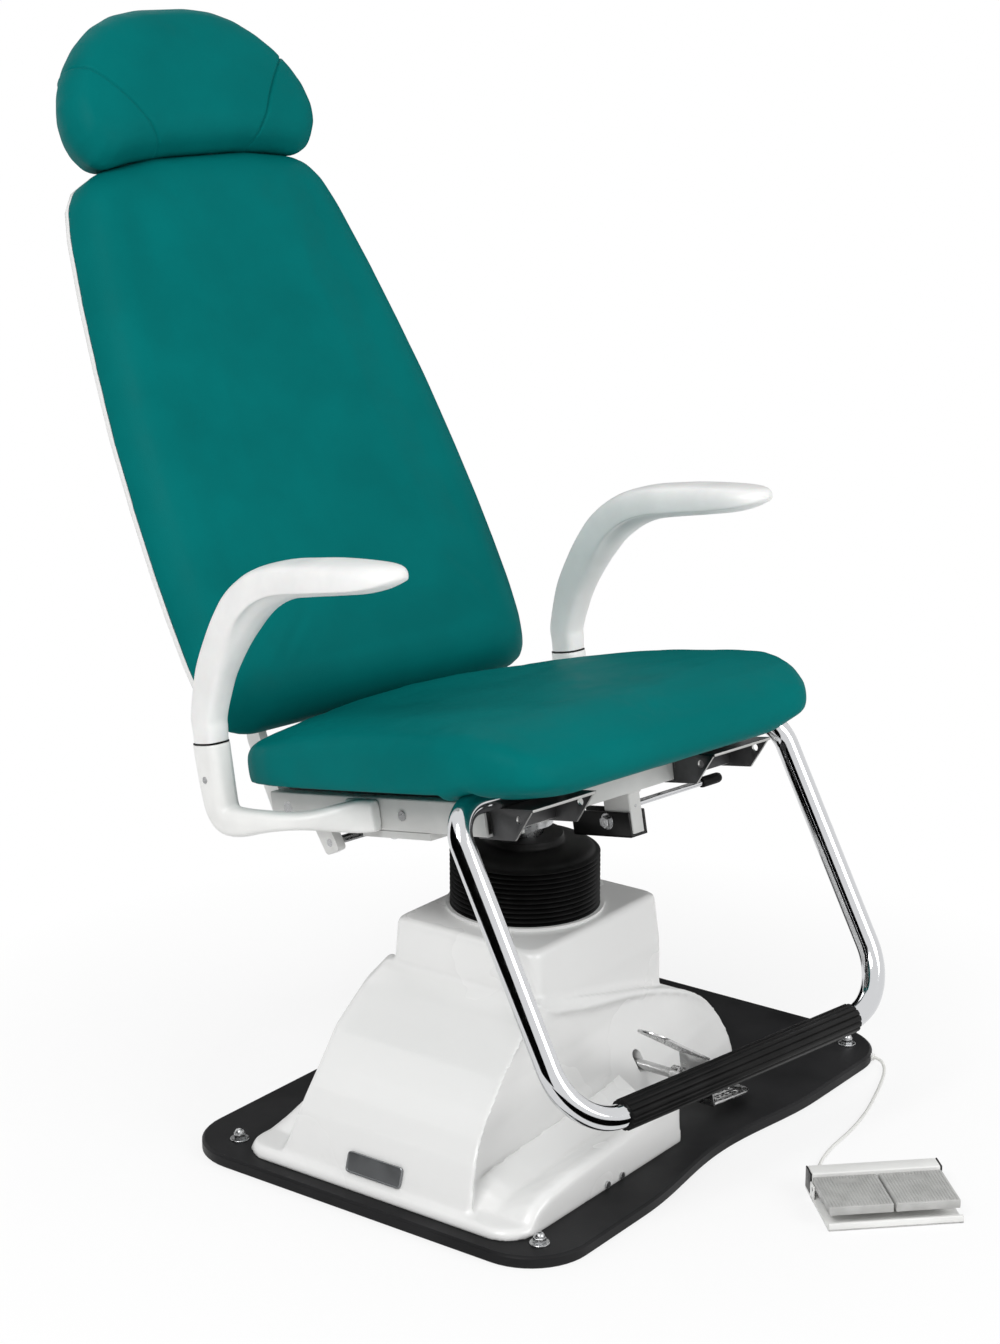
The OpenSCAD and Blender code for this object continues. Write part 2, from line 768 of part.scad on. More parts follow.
module pump_motor() color("dimgray")
  translate([-tank_x, tank_w / 2 + motor_d / 2 + seat_gap, plate_t]) {
    x_rod([-motor_l, 0, motor_d / 2], motor_d, motor_l);
    block([-motor_l, -motor_d / 4, 0], [0, motor_d / 4, motor_d / 4]);
  }

// Bellows profile from its foot to its neck
fold_steps = 4;
bellows_outer = concat(
  [for (i = [0 : fold_count * fold_steps]) let (u = i / fold_steps)
    [bellows_d / 2 - fold_depth * (1 + cos(360 * u)) / 2 * (i == 0 ? 0 : 1), cover_top + u * fold_pitch]],
  [for (a = [30 : 30 : 90])
    [neck_d / 2 + (bellows_d - 2 * fold_depth - neck_d) / 2 * cos(a), dome_z + dome_h * sin(a)]],
  [[neck_d / 2, neck_z + neck_h]]);
bellows_inner = [for (i = [len(bellows_outer) - 1 : -1 : 0]) let (p = bellows_outer[i])
  [p[0] - (i > 0 && i <= fold_count * fold_steps ? 2 : 1) * bellows_wall,
    p[1] - (i > fold_count * fold_steps ? bellows_wall : 0)]];
module bellows() color("black") rotate_extrude()
  polygon(concat(bellows_outer, [[rod_d / 2 + seat_gap, neck_z + neck_h],
    [rod_d / 2 + seat_gap, neck_z + neck_h - bellows_wall]], bellows_inner));

module bellows_ring() color("white") difference() {
  translate([0, 0, cover_top])
    cylinder(d = bellows_d + 2 * foot_ring_w, h = foot_ring_h);
  cylinder(d = bellows_d + 2 * seat_gap, h = cover_top + foot_ring_h + cut);
}

module lifting_rod() color("silver") difference() {
  union() {
    translate([0, 0, rod_z + bolt_d])
      cylinder(d = rod_d, h = head_z - rod_z - bolt_d);
    translate([0, 0, head_z])
      cylinder(d = head_d, h = head_t);
  }
  translate([0, 0, hub_z - spigot_l - cut])
    cylinder(d = spigot_d + 2 * rod_gap, h = spigot_l + 2 * cut);
}

// Rocker pedal
bearing_y = box_front - bearing_t;
module pedal_bearing() color("gray") difference() {
  block([pedal_x - bearing_w / 2, -box_front, plate_t],
    [pedal_x + bearing_w / 2, -bearing_y, pedal_z + pedal_shaft_d + cover_wall]);
  y_rod([pedal_x, -box_front - cut, pedal_z], pedal_shaft_d + 2 * pedal_shaft_gap, bearing_t + 2 * cut);
}

module pedal_shaft() color("silver")
  y_rod([pedal_x, -pedal_front + pedal_t, pedal_z], pedal_shaft_d, pedal_front - pedal_t - bearing_y);

module slotted_wing(l) {
  r = pedal_w / 2;
  columns = floor((l - r) / slot_l / 1.5);
  linear_extrude(pedal_t)
    difference() {
      union() {
        square([l - r, pedal_w]);
        translate([l - r, r])
          circle(d = pedal_w);
      }
      for (i = [1 : columns], j = [-1 : 1])
        translate([i * slot_l * 1.5 + slot_w, r + j * pedal_w / 4]) {
          translate([0, -slot_w / 2])
            square([slot_l - slot_w, slot_w]);
          circle(d = slot_w);
          translate([slot_l - slot_w, 0])
            circle(d = slot_w);
        }
    }
}

panel_up = pedal_panel_h * cos(pedal_panel_lean);
panel_over = pedal_panel_h * sin(pedal_panel_lean);
fold_up = pedal_fold_h * cos(pedal_panel_lean);
fold_over = pedal_fold_h * sin(pedal_panel_lean);
module pedal_plate() color("silver") difference() {
  union() {
    translate([pedal_x - fold_over, -pedal_front, pedal_z + fold_up])
      mirror([1, 0, 0])
        rotate([0, -upper_wing_rise, 0])
          slotted_wing(upper_wing_l);
    translate([pedal_x - fold_over, -pedal_front, pedal_z + fold_up])
      rotate([0, 90 - pedal_panel_lean, 0])
        block([-pedal_t / 2, 0, -pedal_t / 2], [pedal_panel_h + pedal_t / 2, pedal_w, pedal_t / 2]);
    translate([pedal_x - fold_over + panel_over, -pedal_front, pedal_z + fold_up - panel_up])
      rotate([0, lower_wing_fall, 0])
        slotted_wing(lower_wing_l);
    y_rod([pedal_x, -pedal_front, pedal_z], pedal_boss_d, pedal_w + pedal_boss_l);
  }
  y_rod([pedal_x, -pedal_front - cut, pedal_z], pedal_shaft_d, pedal_w + pedal_boss_l + 2 * cut);
}

module cord_grommet() color("white")
  y_rod(cord_start, grommet_d, grommet_l);

// Foot switch
nozzle_l = 12;
nozzle_d = 8;
nozzle_z = 9;
nozzle_x = -switch_w / 2 + switch_bar_d;
cord_end = [-switch_x, -switch_y, 0] + (switch_d / 2 + nozzle_l) * [sin(switch_turn), cos(switch_turn), 0]
  + nozzle_x * [cos(switch_turn), -sin(switch_turn), 0] + [0, 0, nozzle_z];
cord_lie = cord_d / 2 + cord_lift;
cord_route = concat([cord_start, cord_start - [0, cord_d, 0]], [
  [cord_exit_x - 1, -316, 5.5], [cord_exit_x - 7, -323, 3.2], [313, -330, cord_lie], [298, -337, cord_lie],
  [280, -344, cord_lie], [260, -351, cord_lie], [238, -358, cord_lie], [216, -365, cord_lie],
  [194, -371, cord_lie], [172, -376, cord_lie], [150, -380, cord_lie], [128, -383, cord_lie],
  [106, -385, cord_lie], [86, -387, cord_lie], [67, -390, cord_lie], [50, -394, cord_lie],
  [35, -399, 3], [22, -405, 5], [12, -412, 7.5]],
  [cord_end + cord_d * [sin(switch_turn), cos(switch_turn), 0], cord_end]);

// A point between b and c on the smooth curve through a, b, c and d
function spline(a, b, c, d, t) = 0.5 * (2 * b + (c - a) * t + (2 * a - 5 * b + 4 * c - d) * t * t
  + (3 * b - a - 3 * c + d) * t * t * t);
function smooth(pts, n) = let (m = len(pts) - 1) concat([for (i = [0 : m - 1], k = [0 : n - 1])
  spline(pts[max(i - 1, 0)], pts[i], pts[i + 1], pts[min(i + 2, m)], k / n)], [pts[m]]);
function unit(v) = v / norm(v);
function tube_rings(pts, r, sides) = let (m = len(pts) - 1) [for (i = [0 : m])
  let (t = i == 0 ? pts[0] - pts[1] : i == m ? pts[m - 1] - pts[m] : pts[i - 1] - pts[i + 1],
    side = unit(cross(t, [0, 0, 1])), up = unit(cross(side, t)))
  [for (k = [0 : sides - 1]) let (a = 360 * (k + 0.5) / sides)
    pts[i] + r * (cos(a) * side + sin(a) * up)]];

module switch_cord() color("white")
  loft(tube_rings(smooth(cord_route, 2), cord_d / 2, 8));

ear_t = switch_cap_t;
tread_w = (switch_w - 2 * ear_t - 2 * seat_gap - tread_gap) / 2;
tread_y = -switch_d / 2 + switch_lip_h - switch_cap_t;
pin_y = switch_d / 2 - switch_bar_d - 2 * switch_pin_d;
module switch_base() color("whitesmoke") at_switch() difference() {
  union() {
    block([-switch_w / 2, -switch_d / 2, 0], [switch_w / 2, switch_d / 2, switch_base_t]);
    block([-switch_w / 2, -switch_d / 2, 0], [switch_w / 2, -switch_d / 2 + switch_lip_t, switch_lip_h]);
    both_sides()
      block([switch_w / 2 - ear_t, pin_y - switch_pin_d, 0],
        [switch_w / 2, switch_d / 2 - switch_bar_d, switch_pin_z + switch_pin_d]);
  }
  x_rod([-switch_w / 2 - cut, pin_y, switch_pin_z], switch_pin_d, switch_w + 2 * cut);
}

module switch_housing() color("whitesmoke") at_switch() {
  block([-switch_w / 2 + switch_cap_t, switch_d / 2 - switch_bar_d, switch_base_t],
    [switch_w / 2 - switch_cap_t, switch_d / 2, switch_h]);
  translate([nozzle_x, switch_d / 2, nozzle_z])
    rotate([-90, 0, 0])
      cylinder(d1 = nozzle_d, d2 = cord_d + switch_cap_t, h = nozzle_l);
}

module switch_caps() color("black") at_switch() both_sides()
  block([switch_w / 2 - switch_cap_t, switch_d / 2 - switch_bar_d, switch_base_t],
    [switch_w / 2, switch_d / 2, switch_h]);

module switch_pin() color("silver") at_switch()
  x_rod([-switch_w / 2, pin_y, switch_pin_z], switch_pin_d, switch_w);

tread_ribs = floor(tread_w / rib_pitch);
module tread() {
  difference() {
    block([0, 0, tread_top - rib_h - tread_skirt_h], [tread_w, tread_d, tread_top - rib_h]);
    block([tread_wall, tread_wall, 0],
      [tread_w - tread_wall, tread_d - tread_wall, tread_top - rib_h - tread_wall]);
    x_rod([-cut, pin_y - tread_y, switch_pin_z], 2 * switch_pin_d, tread_w + 2 * cut);
  }
  for (i = [0 : tread_ribs - 1])
    block([(i + 0.25) * rib_pitch, tread_wall, tread_top - rib_h - tread_wall / 2],
      [(i + 0.75) * rib_pitch, tread_d - tread_wall, tread_top]);
  difference() {
    translate([tread_w / 8, 0, 0])
      for (x = [0, tread_w * 5 / 8])
        union() {
          x_rod([x, pin_y - tread_y, switch_pin_z], 2 * switch_pin_d - 2 * switch_pin_gap, tread_w / 8);
          block([x, pin_y - tread_y - tread_wall, switch_pin_z],
            [x + tread_w / 8, pin_y - tread_y + tread_wall, tread_top - rib_h - tread_wall / 2]);
        }
    x_rod([-cut, pin_y - tread_y, switch_pin_z], switch_pin_d + 2 * switch_pin_gap, tread_w + 2 * cut);
  }
}

module left_tread() color("lightgray") at_switch()
  translate([tread_gap / 2, tread_y, 0])
    tread();

module right_tread() color("lightgray") at_switch()
  translate([-tread_gap / 2 - tread_w, tread_y, 0])
    tread();

// Seat carrier
module swivel_hub() color("gray") {
  difference() {
    translate([0, 0, hub_z])
      cylinder(d = hub_d, h = 2 * hub_h);
    at_seat()
      block([-hub_d, -hub_d, 0], [hub_d, hub_d, hub_d]);
  }
  translate([0, 0, hub_z - spigot_l])
    cylinder(d = spigot_d, h = spigot_l + cut);
}

lug_t = carrier_t / 2;
module carrier_plate() color("gray") at_seat() {
  difference() {
    block([-frame_w / 2, -carrier_l / 2, 0], [frame_w / 2, carrier_l / 2, carrier_t]);
    block([-gas_x - gas_d / 2 - lug_t, carrier_l / 2 - gas_d, -cut],
      [-gas_x + gas_d / 2 + lug_t, carrier_l / 2 + cut, carrier_t + cut]);
  }
  for (x = [-gas_x - gas_d / 2 - lug_t - seat_gap, -gas_x + gas_d / 2 + seat_gap])
    block([x, -gas_lug_y - lug_pin_d, gas_z - lug_pin_d], [x + lug_t, -gas_lug_y + lug_pin_d, cut]);
  x_rod([-gas_x - gas_d / 2 - lug_t, -gas_lug_y, gas_z], lug_pin_d, gas_d + 2 * lug_t);
}

module rail(lo, hi, end_x, end_y) difference() {
  block(lo, hi);
  block(lo + [end_x ? -cut : rail_wall, end_y ? -cut : rail_wall, rail_wall],
    hi - [end_x ? -cut : rail_wall, end_y ? -cut : rail_wall, rail_wall]);
}

screw_y = -carrier_t * 2;
screw_z = rail_z + rail_h / 2;
module right_side_rail() difference() {
  rail([rail_in, -frame_front, rail_z], [frame_w / 2, frame_back, rail_top], false, true);
  x_rod([0, pivot_y, pivot_z], pivot_d, frame_w);
  x_rod([0, screw_y, screw_z], rail_screw_d / 2, frame_w);
}

module left_rail() color("gainsboro") at_seat()
  right_side_rail();

module right_rail() color("gainsboro") at_seat()
  mirror([1, 0, 0])
    right_side_rail();

module front_rail() color("gainsboro") at_seat()
  rail([-rail_in, -frame_front, rail_z], [rail_in, -frame_front + rail_w, bracket_top - bracket_t],
    true, false);

module rear_rail() color("gainsboro") at_seat()
  rail([-rail_in, rear_rail_y, rail_z], [rail_in, rear_rail_y + rail_w, rail_top], true, false);

ear_side = [[-frame_front + rail_w * 0.8, bracket_z], [-frame_front - ear_chamfer, bracket_z],
  [-frame_front - 2 * ear_chamfer, bracket_top], [-frame_front, bracket_top],
  [-frame_front, rail_z], [-frame_front + rail_w * 0.8, rail_z]];
ear_x = [frame_w / 2 - bracket_w - rail_wall * 3, frame_w / 2 - rail_wall * 3 - bracket_t];
module bracket() difference() {
  union() {
    for (x = ear_x)
      translate([x, 0, 0])
        rotate([90, 0, 90])
          linear_extrude(bracket_t)
            polygon(ear_side);
    block([ear_x[0], -frame_front - 2 * ear_chamfer, bracket_top - bracket_t],
      [ear_x[1] + bracket_t, -frame_front, bracket_top]);
    block([ear_x[0], -frame_front - cut, bracket_top - bracket_t],
      [rail_in, -frame_front + rail_w, bracket_top]);
    block([ear_x[0], -frame_front - bracket_t, rail_z], [ear_x[1] + bracket_t, -frame_front, bracket_top]);
  }
  x_rod([ear_x[0] - cut, -frame_front - ear_hole_y, bracket_z + ear_hole_z], 2 * ear_hole_r,
    bracket_w + 2 * cut);
}

module left_bracket() color("dimgray") at_seat()
  bracket();

module right_bracket() color("dimgray") at_seat()
  mirror([1, 0, 0])
    bracket();

post_screw_z = arm_seam_z * 2 / 3;
module frame_screws() color("dimgray") at_seat() both_sides() {
  x_rod([frame_w / 2, screw_y, screw_z], rail_screw_d, cover_screw_h);
  x_rod([frame_w / 2 - rail_wall, screw_y, screw_z], rail_screw_d / 2, rail_wall + cover_screw_h);
  x_rod([arm_x + arm_pin_d / 2 + arm_pin_gap + seat_gap, arm_y, post_screw_z], arm_screw_d,
    casting_w / 2 - arm_pin_d / 2);
}

module seat_board() color("black") at_seat()
  translate([0, 0, rail_top])
    linear_extrude(board_t)
      polygon(soft(oblong([-board_w / 2, -frame_front], [board_w / 2, frame_back]), rail_w));

// Seat rings: reach, width, lower edge and upper edge as shares of the seat sizes
seat_shares = [[-1, 0.75, -0.1, 0.2], [-0.978, 0.83, -0.6, 0.4], [-0.934, 0.89, -0.9, 0.55],
  [-0.86, 0.94, -1, 0.74], [-0.77, 0.973, -1, 0.87], [-0.705, 0.984, -1, 0.93],
  [-0.69, 0.988, 0, 0.94], [-0.55, 0.996, 0, 1], [-0.15, 1, 0, 1], [0.25, 1, 0, 0.94],
  [0.57, 0.99, 0, 0.84], [0.78, 0.957, 0, 0.76], [0.9, 0.886, 0, 0.68], [0.97, 0.78, 0.03, 0.58],
  [1, 0.67, 0.11, 0.42]];
// Share of the width where the front roll is at its lowest
roll_share = 0.72;
function seat_ring(s) = let (y = s[0] < 0 ? s[0] * seat_front : s[0] * seat_back,
  w = s[1] * seat_w / 2, low = cushion_z + (s[2] < 0 ? s[2] * roll_drop : s[2] * seat_t),
  side = max(low, cushion_z), high = cushion_z + s[3] * seat_t)
  across(soft([[-w, side], [-w * roll_share, low], [w * roll_share, low], [w, side], [w, high], [-w, high]],
    min(seat_edge_r, (high - side) * 0.45)), y);
module seat_cushion() color("teal") at_seat()
  loft([for (i = [len(seat_shares) - 1 : -1 : 0]) seat_ring(seat_shares[i])]);

// Foot bar
bar_side = bar_w / 2;
module half_bar(d) {
  x_rod([bar_w / 5, 0, 0], d, bar_side - bar_w / 5 - bar_top_bend_r);
  translate([bar_side - bar_top_bend_r, 0, -bar_top_bend_r])
    rotate([90, 0, 0])
      rotate_extrude(angle = 90)
        translate([bar_top_bend_r, 0])
          circle(d = d);
  translate([bar_side, 0, -bar_l + bar_bend_r])
    cylinder(d = d, h = bar_l - bar_bend_r - bar_top_bend_r);
  translate([bar_side - bar_bend_r, 0, -bar_l + bar_bend_r])
    rotate([90, 0, 0])
      rotate([0, 0, -90])
        rotate_extrude(angle = 90)
          translate([bar_bend_r, 0])
            circle(d = d);
  x_rod([0, 0, -bar_l], d, bar_side - bar_bend_r);
}

module foot_bar() color("silver") at_foot_bar() difference() {
  both_sides()
    half_bar(bar_d);
  both_sides()
    half_bar(bar_d - 2 * bar_wall);
}

sleeve_w = bar_w - 2 * bar_bend_r;
module foot_bar_sleeve() color("black") at_foot_bar() difference() {
  x_rod([-sleeve_w / 2, 0, -bar_l], sleeve_d, sleeve_w);
  x_rod([-sleeve_w / 2 - cut, 0, -bar_l], bar_d, sleeve_w + 2 * cut);
  for (a = [0 : 360 / sleeve_grooves : 359])
    x_rod([-sleeve_w / 2 - cut, sleeve_d / 2 * cos(a), -bar_l + sleeve_d / 2 * sin(a)], 2 * sleeve_groove,
      sleeve_w + 2 * cut);
}

// Release lever
clamp_bolt_y = frame_front - post_d;
clamp_bolt_z = post_z + clamp_h / 2;
clamp_y = frame_front - clamp_t * 2;
module lever_post() color("lightgray") at_seat() difference() {
  block([post_x, -clamp_y, post_z], [post_x + post_w, -clamp_y + post_d, rail_z]);
  block([post_x + rail_wall, -clamp_y + rail_wall, post_z - cut],
    [post_x + post_w - rail_wall, -clamp_y + post_d - rail_wall, rail_z + cut]);
  block([lever_x, -lever_y - lever_d, lever_z - lever_d],
    [post_x + post_w + cut, -lever_y + lever_d, lever_z + lever_d]);
  y_rod([lever_x, -frame_front, lever_z], lug_pin_d / 2, post_d * 2);
  x_rod([post_x - cut, -clamp_bolt_y, clamp_bolt_z], lug_pin_d, post_w + 2 * cut);
}

module lever_clamp() color("black") at_seat() difference() {
  block([post_x - clamp_t, -clamp_y, post_z - clamp_t], [post_x + post_w + clamp_t, -clamp_y + clamp_w,
    post_z + clamp_h - clamp_t]);
  block([post_x, -clamp_y - cut, post_z], [post_x + post_w, -clamp_y + clamp_w + cut, rail_z]);
  x_rod([post_x - 2 * clamp_t, -clamp_bolt_y, clamp_bolt_z], lug_pin_d, post_w + 4 * clamp_t);
}

module lever_bolts() color("silver") at_seat() {
  y_rod([lever_x, -clamp_y, lever_z], lug_pin_d / 2, post_d);
  translate([post_x - clamp_t, -clamp_bolt_y, clamp_bolt_z])
    rotate([0, -90, 0])
      hexagon(clamp_bolt_flats, clamp_bolt_flats / 2);
  x_rod([post_x - clamp_t, -clamp_bolt_y, clamp_bolt_z], lug_pin_d, post_w + 2 * clamp_t);
}

module release_lever() color("silver") at_seat() difference() {
  union() {
    x_rod([lever_x, -lever_y, lever_z], lever_d, lever_l);
    y_rod([lever_x, -lever_y - lever_d * 0.8, lever_z], 1.6 * lever_d, 1.6 * lever_d);
  }
  y_rod([lever_x, -lever_y - 2 * lever_d, lever_z], lug_pin_d / 2 + 2 * pivot_gap, 4 * lever_d);
}

module lever_grip() color("black") at_seat() difference() {
  x_rod([lever_x + lever_l - lever_grip_l * 0.8, -lever_y, lever_z], lever_grip_d, lever_grip_l);
  x_rod([lever_x, -lever_y, lever_z], lever_d, lever_l);
}

// Armrests
module disc(p, size) {
  translate(p)
    scale(size)
      cylinder(d = 1, h = 1, $fn = soft_fn);
}

module egg(p, size) {
  translate(p)
    scale(size)
      sphere(d = 1, $fn = soft_fn);
}

elbow_z = rail_z + rail_h * 0.62;
elbow = [casting_w, arm_post_t, casting_w] * 0.95;
module arm_casting() difference() {
  union() {
    hull() {
      disc([arm_x, arm_y, arm_seam_z - arm_seam_gap - casting_w / 10],
        [casting_w, arm_post_t, casting_w / 10]);
      disc([arm_x, arm_y, arm_seam_z / 2], [casting_w, arm_post_t, casting_w / 10] * 0.96);
    }
    hull() {
      disc([arm_x, arm_y, arm_seam_z / 2], [casting_w, arm_post_t, casting_w / 10] * 0.96);
      egg([arm_x, arm_y - arm_post_t / 8, elbow_z], elbow);
    }
    hull() {
      egg([arm_x, arm_y - arm_post_t / 8, elbow_z], elbow);
      egg([mix(frame_w / 2, arm_x, 0.75), arm_y / 2, elbow_z], elbow * 0.8);
    }
    hull() {
      egg([mix(frame_w / 2, arm_x, 0.75), arm_y / 2, elbow_z], elbow * 0.8);
      block([frame_w / 2, arm_y / 20, rail_z + rail_wall],
          [frame_w / 2 + rail_w / 2, arm_y * 0.4, rail_top - rail_wall]);
    }
  }
  block([0, -frame_front, 0], [frame_w / 2, frame_back, rail_top + cut]);
  translate([arm_x, arm_y, arm_seam_z - arm_pin_l])
    cylinder(d = arm_pin_d + 2 * arm_pin_gap, h = 2 * arm_pin_l);
  x_rod([arm_x, arm_y, post_screw_z], arm_screw_d, casting_w);
}

module left_arm_casting() color("white") at_seat()
  arm_casting();

module right_arm_casting() color("white") at_seat()
  mirror([1, 0, 0])
    arm_casting();

module arm_pins() color("silver") at_seat() both_sides()
  translate([arm_x, arm_y, arm_seam_z - arm_pin_l])
    cylinder(d = arm_pin_d, h = 2 * arm_pin_l - seat_gap);

// Armrest rings: reach, rise, thickness and width as shares, and the slope of the path
arm_shares = [[0, 0, 0.93, 0.47, 90], [0.008, 0.163, 1, 0.51, 84], [0.05, 0.34, 1.09, 0.53, 77],
  [0.09, 0.47, 1.14, 0.56, 71], [0.164, 0.637, 1.16, 0.63, 61], [0.225, 0.745, 1.18, 0.73, 48],
  [0.296, 0.851, 1.18, 0.83, 34], [0.402, 0.947, 1.11, 0.93, 22], [0.511, 0.99, 1.02, 0.99, 10],
  [0.72, 0.993, 0.94, 1, 1], [0.86, 0.984, 0.8, 0.96, 0], [0.94, 0.982, 0.61, 0.84, 0],
  [0.98, 0.988, 0.4, 0.62, 0], [1, 0.99, 0.18, 0.34, 0]];
arm_sides = 20;
function arm_ring(s) = let (c = [arm_x, arm_y - s[0] * arm_reach, arm_seam_z + s[1] * arm_rise])
  [for (k = [0 : arm_sides - 1]) let (a = 360 * k / arm_sides)
    c + [cos(a) * s[3] * arm_pad_w / 2, sin(a) * s[2] * arm_post_t / 2 * sin(s[4]),
      sin(a) * s[2] * arm_post_t / 2 * cos(s[4])]];
module armrest() difference() {
  loft([for (s = arm_shares) arm_ring(s)]);
  translate([arm_x, arm_y, arm_seam_z - cut])
    cylinder(d = arm_pin_d + 2 * arm_pin_gap, h = arm_pin_l + cut);
}

module left_armrest() color("white") at_seat()
  armrest();

module right_armrest() color("white") at_seat()
  mirror([1, 0, 0])
    armrest();

// Backrest
arm_in = rail_in - side_arm_gap - side_arm_t;
module pivot_pins() color("silver") at_seat() both_sides() {
  x_rod([arm_in - side_arm_gap, pivot_y, pivot_z], pivot_d, frame_w / 2 - arm_in + side_arm_gap);
  x_rod([rail_in - side_arm_gap + seat_gap, pivot_y, pivot_z], pivot_d * 1.5, side_arm_gap - seat_gap);
  x_rod([arm_in - side_arm_gap, pivot_y, pivot_z], pivot_d * 1.5, side_arm_gap - seat_gap);
}

half_arm = side_arm_w / 2;
side_arm = [[crank_y - half_arm, crank_z - half_arm], [crank_y + half_arm, crank_z - half_arm],
  [half_arm, -half_arm], [side_arm_back + 2 * half_arm, -half_arm],
  [side_arm_back + 2 * half_arm, back_low], [shell_back + 2 * half_arm, back_low + 2 * half_arm],
  [shell_back + 2 * half_arm, back_low + side_arm_rise], [shell_back, back_low + side_arm_rise],
  [shell_back, back_low + 2 * half_arm], [side_arm_back, back_low], [side_arm_back, half_arm],
  [-half_arm, half_arm]];
module back_arm() difference() {
  translate([arm_in, 0, 0])
    rotate([90, 0, 90])
      linear_extrude(side_arm_t)
        polygon(soft(side_arm, half_arm / 2));
  x_rod([0, 0, 0], pivot_d + 2 * pivot_gap, frame_w);
  x_rod([0, crank_y, crank_z], crank_bar_d, frame_w);
}

module left_back_arm() color("dimgray") at_back()
  back_arm();

module right_back_arm() color("dimgray") at_back()
  mirror([1, 0, 0])
    back_arm();

module crank_bar() color("silver") at_back()
  x_rod([-arm_in - side_arm_t, crank_y, crank_z], crank_bar_d, 2 * (arm_in + side_arm_t));

// Right half of the back outline as shares of its half width and height
back_shares = [[0.8, 0], [0.91, 0.012], [0.955, 0.03], [0.985, 0.07], [1, 0.13], [1, 0.29],
  [0.985, 0.4], [0.957, 0.53], [0.915, 0.645], [0.865, 0.762], [0.8, 0.882], [0.755, 0.934],
  [0.69, 0.965], [0.6, 0.981], [0.3, 0.996]];
function mirrored(pts) = [for (i = [len(pts) - 1 : -1 : 0]) [-pts[i][0], pts[i][1]]];
function back_outline(i) = let (half = [for (s = back_shares)
  [s[0] * (back_w / 2 - i), mix(back_low + i, back_top - i, s[1])]]) concat(half, mirrored(half));
// Rounding of the back cushion: place from its front to its back and inset, as shares of its thickness
back_edge_shares = [[1, 0], [0.82, 0.06], [0.63, 0.18], [0.43, 0.33], [0.25, 0.53], [0.12, 0.75],
  [0, 1.1]];
module back_cushion() color("teal") at_back() loft([for (s = back_edge_shares)
  across(back_outline(s[1] * back_t), s[0] * back_t - back_front)]);

shell_slope = shell_d * 2 / 3;
module back_shell() color("white") at_back() difference() {
  loft([across(back_outline(shell_slope), shell_back),
    across(back_outline(-shell_lip), shell_back - shell_slope),
    across(back_outline(-shell_lip), shell_y)]);
  loft([across(back_outline(shell_slope + shell_wall), shell_back - shell_wall),
    across(back_outline(shell_wall - shell_lip), shell_back - shell_slope - shell_wall / 2),
    across(back_outline(shell_wall - shell_lip), shell_y - cut)]);
  both_sides()
    translate([head_rod_x, guide_y, back_top - head_rod_l / 2])
      cylinder(d = head_rod_d + 2 * shell_lip, h = head_rod_l);
}

// Gas spring
gas_aim = [0, pivot_y - crank_front + gas_lug_y, pivot_z - crank_drop - gas_z];
gas_span = norm(gas_aim);
gas_slope = atan2(gas_aim[2], gas_aim[1]);
module at_gas() {
  at_seat()
    translate([-gas_x, -gas_lug_y, gas_z])
      rotate([gas_slope, 0, 0])
        children();
}

module gas_cylinder() color("black") at_gas() difference() {
  union() {
    x_rod([-gas_d / 2, 0, 0], 2 * lug_pin_d, gas_d);
    y_rod([0, 0, 0], gas_d, gas_l + lug_pin_d);
  }
  x_rod([-gas_d, 0, 0], lug_pin_d + 2 * gas_rod_gap, 2 * gas_d);
  y_rod([0, lug_pin_d * 2, 0], gas_rod_d + 2 * gas_rod_gap, gas_l);
}

module gas_rod() color("silver") at_gas() difference() {
  union() {
    y_rod([0, gas_span / 3, 0], gas_rod_d, gas_span * 2 / 3 - gas_eye_r + gas_eye_wall);
    x_rod([-gas_rod_d, gas_span, 0], 2 * gas_eye_r, 2 * gas_rod_d);
  }
  x_rod([-gas_d, gas_span, 0], 2 * (gas_eye_r - gas_eye_wall), 2 * gas_d);
}

// Headrest
module head_guides() color("black") at_back() difference() {
  block([-head_rod_x - head_rod_d, shell_y + shell_lip, back_top - head_rod_l * 0.3],
    [head_rod_x + head_rod_d, shell_back - shell_wall, back_top - head_rod_l * 0.12]);
  both_sides()
    translate([head_rod_x, guide_y, back_low])
      cylinder(d = head_rod_d + 2 * pivot_gap, h = back_h);
}

module head_rods() color("silver") at_back() both_sides()
  translate([head_rod_x, guide_y, back_top - head_rod_l * 0.7])
    cylinder(d = head_rod_d, h = head_rod_l);

plate_z = head_z0 + head_low;
module head_plate() color("dimgray") at_back() difference() {
  union() {
    translate([0, head_back, plate_z])
      rotate([-90, 0, 0])
        mirror([0, 1, 0])
          linear_extrude(head_plate_t)
            polygon(soft(oblong([-head_w / 4, 0], [head_w / 4, head_dome / 2]), head_rod_d));
    both_sides()
      block([head_rod_x - head_rod_d, head_back + head_plate_t - cut, plate_z + head_rod_d],
        [head_rod_x + head_rod_d, guide_y + head_rod_d / 2 + head_plate_t,
          plate_z + head_dome / 2 - head_rod_d]);
  }
  both_sides()
    translate([head_rod_x, guide_y, back_low])
      cylinder(d = head_rod_d, h = 2 * back_h);
}

// Right half of the headrest outline: width share, and height share below or above its widest place
head_shares = [[0.3, -0.98], [0.6, -1.05], [0.8, -1.1], [0.9, -0.9], [0.97, -0.5], [1, 0],
  [0.985, 0.2], [0.93, 0.38], [0.84, 0.56], [0.72, 0.72], [0.57, 0.86], [0.4, 0.95], [0.2, 0.99]];
function head_outline(i) = let (half = [for (s = head_shares) [s[0] * (head_w / 2 - i),
  head_z0 + head_low + s[1] * (s[1] < 0 ? head_low - i / 2 : head_dome - i)]]) concat(half, mirrored(half));
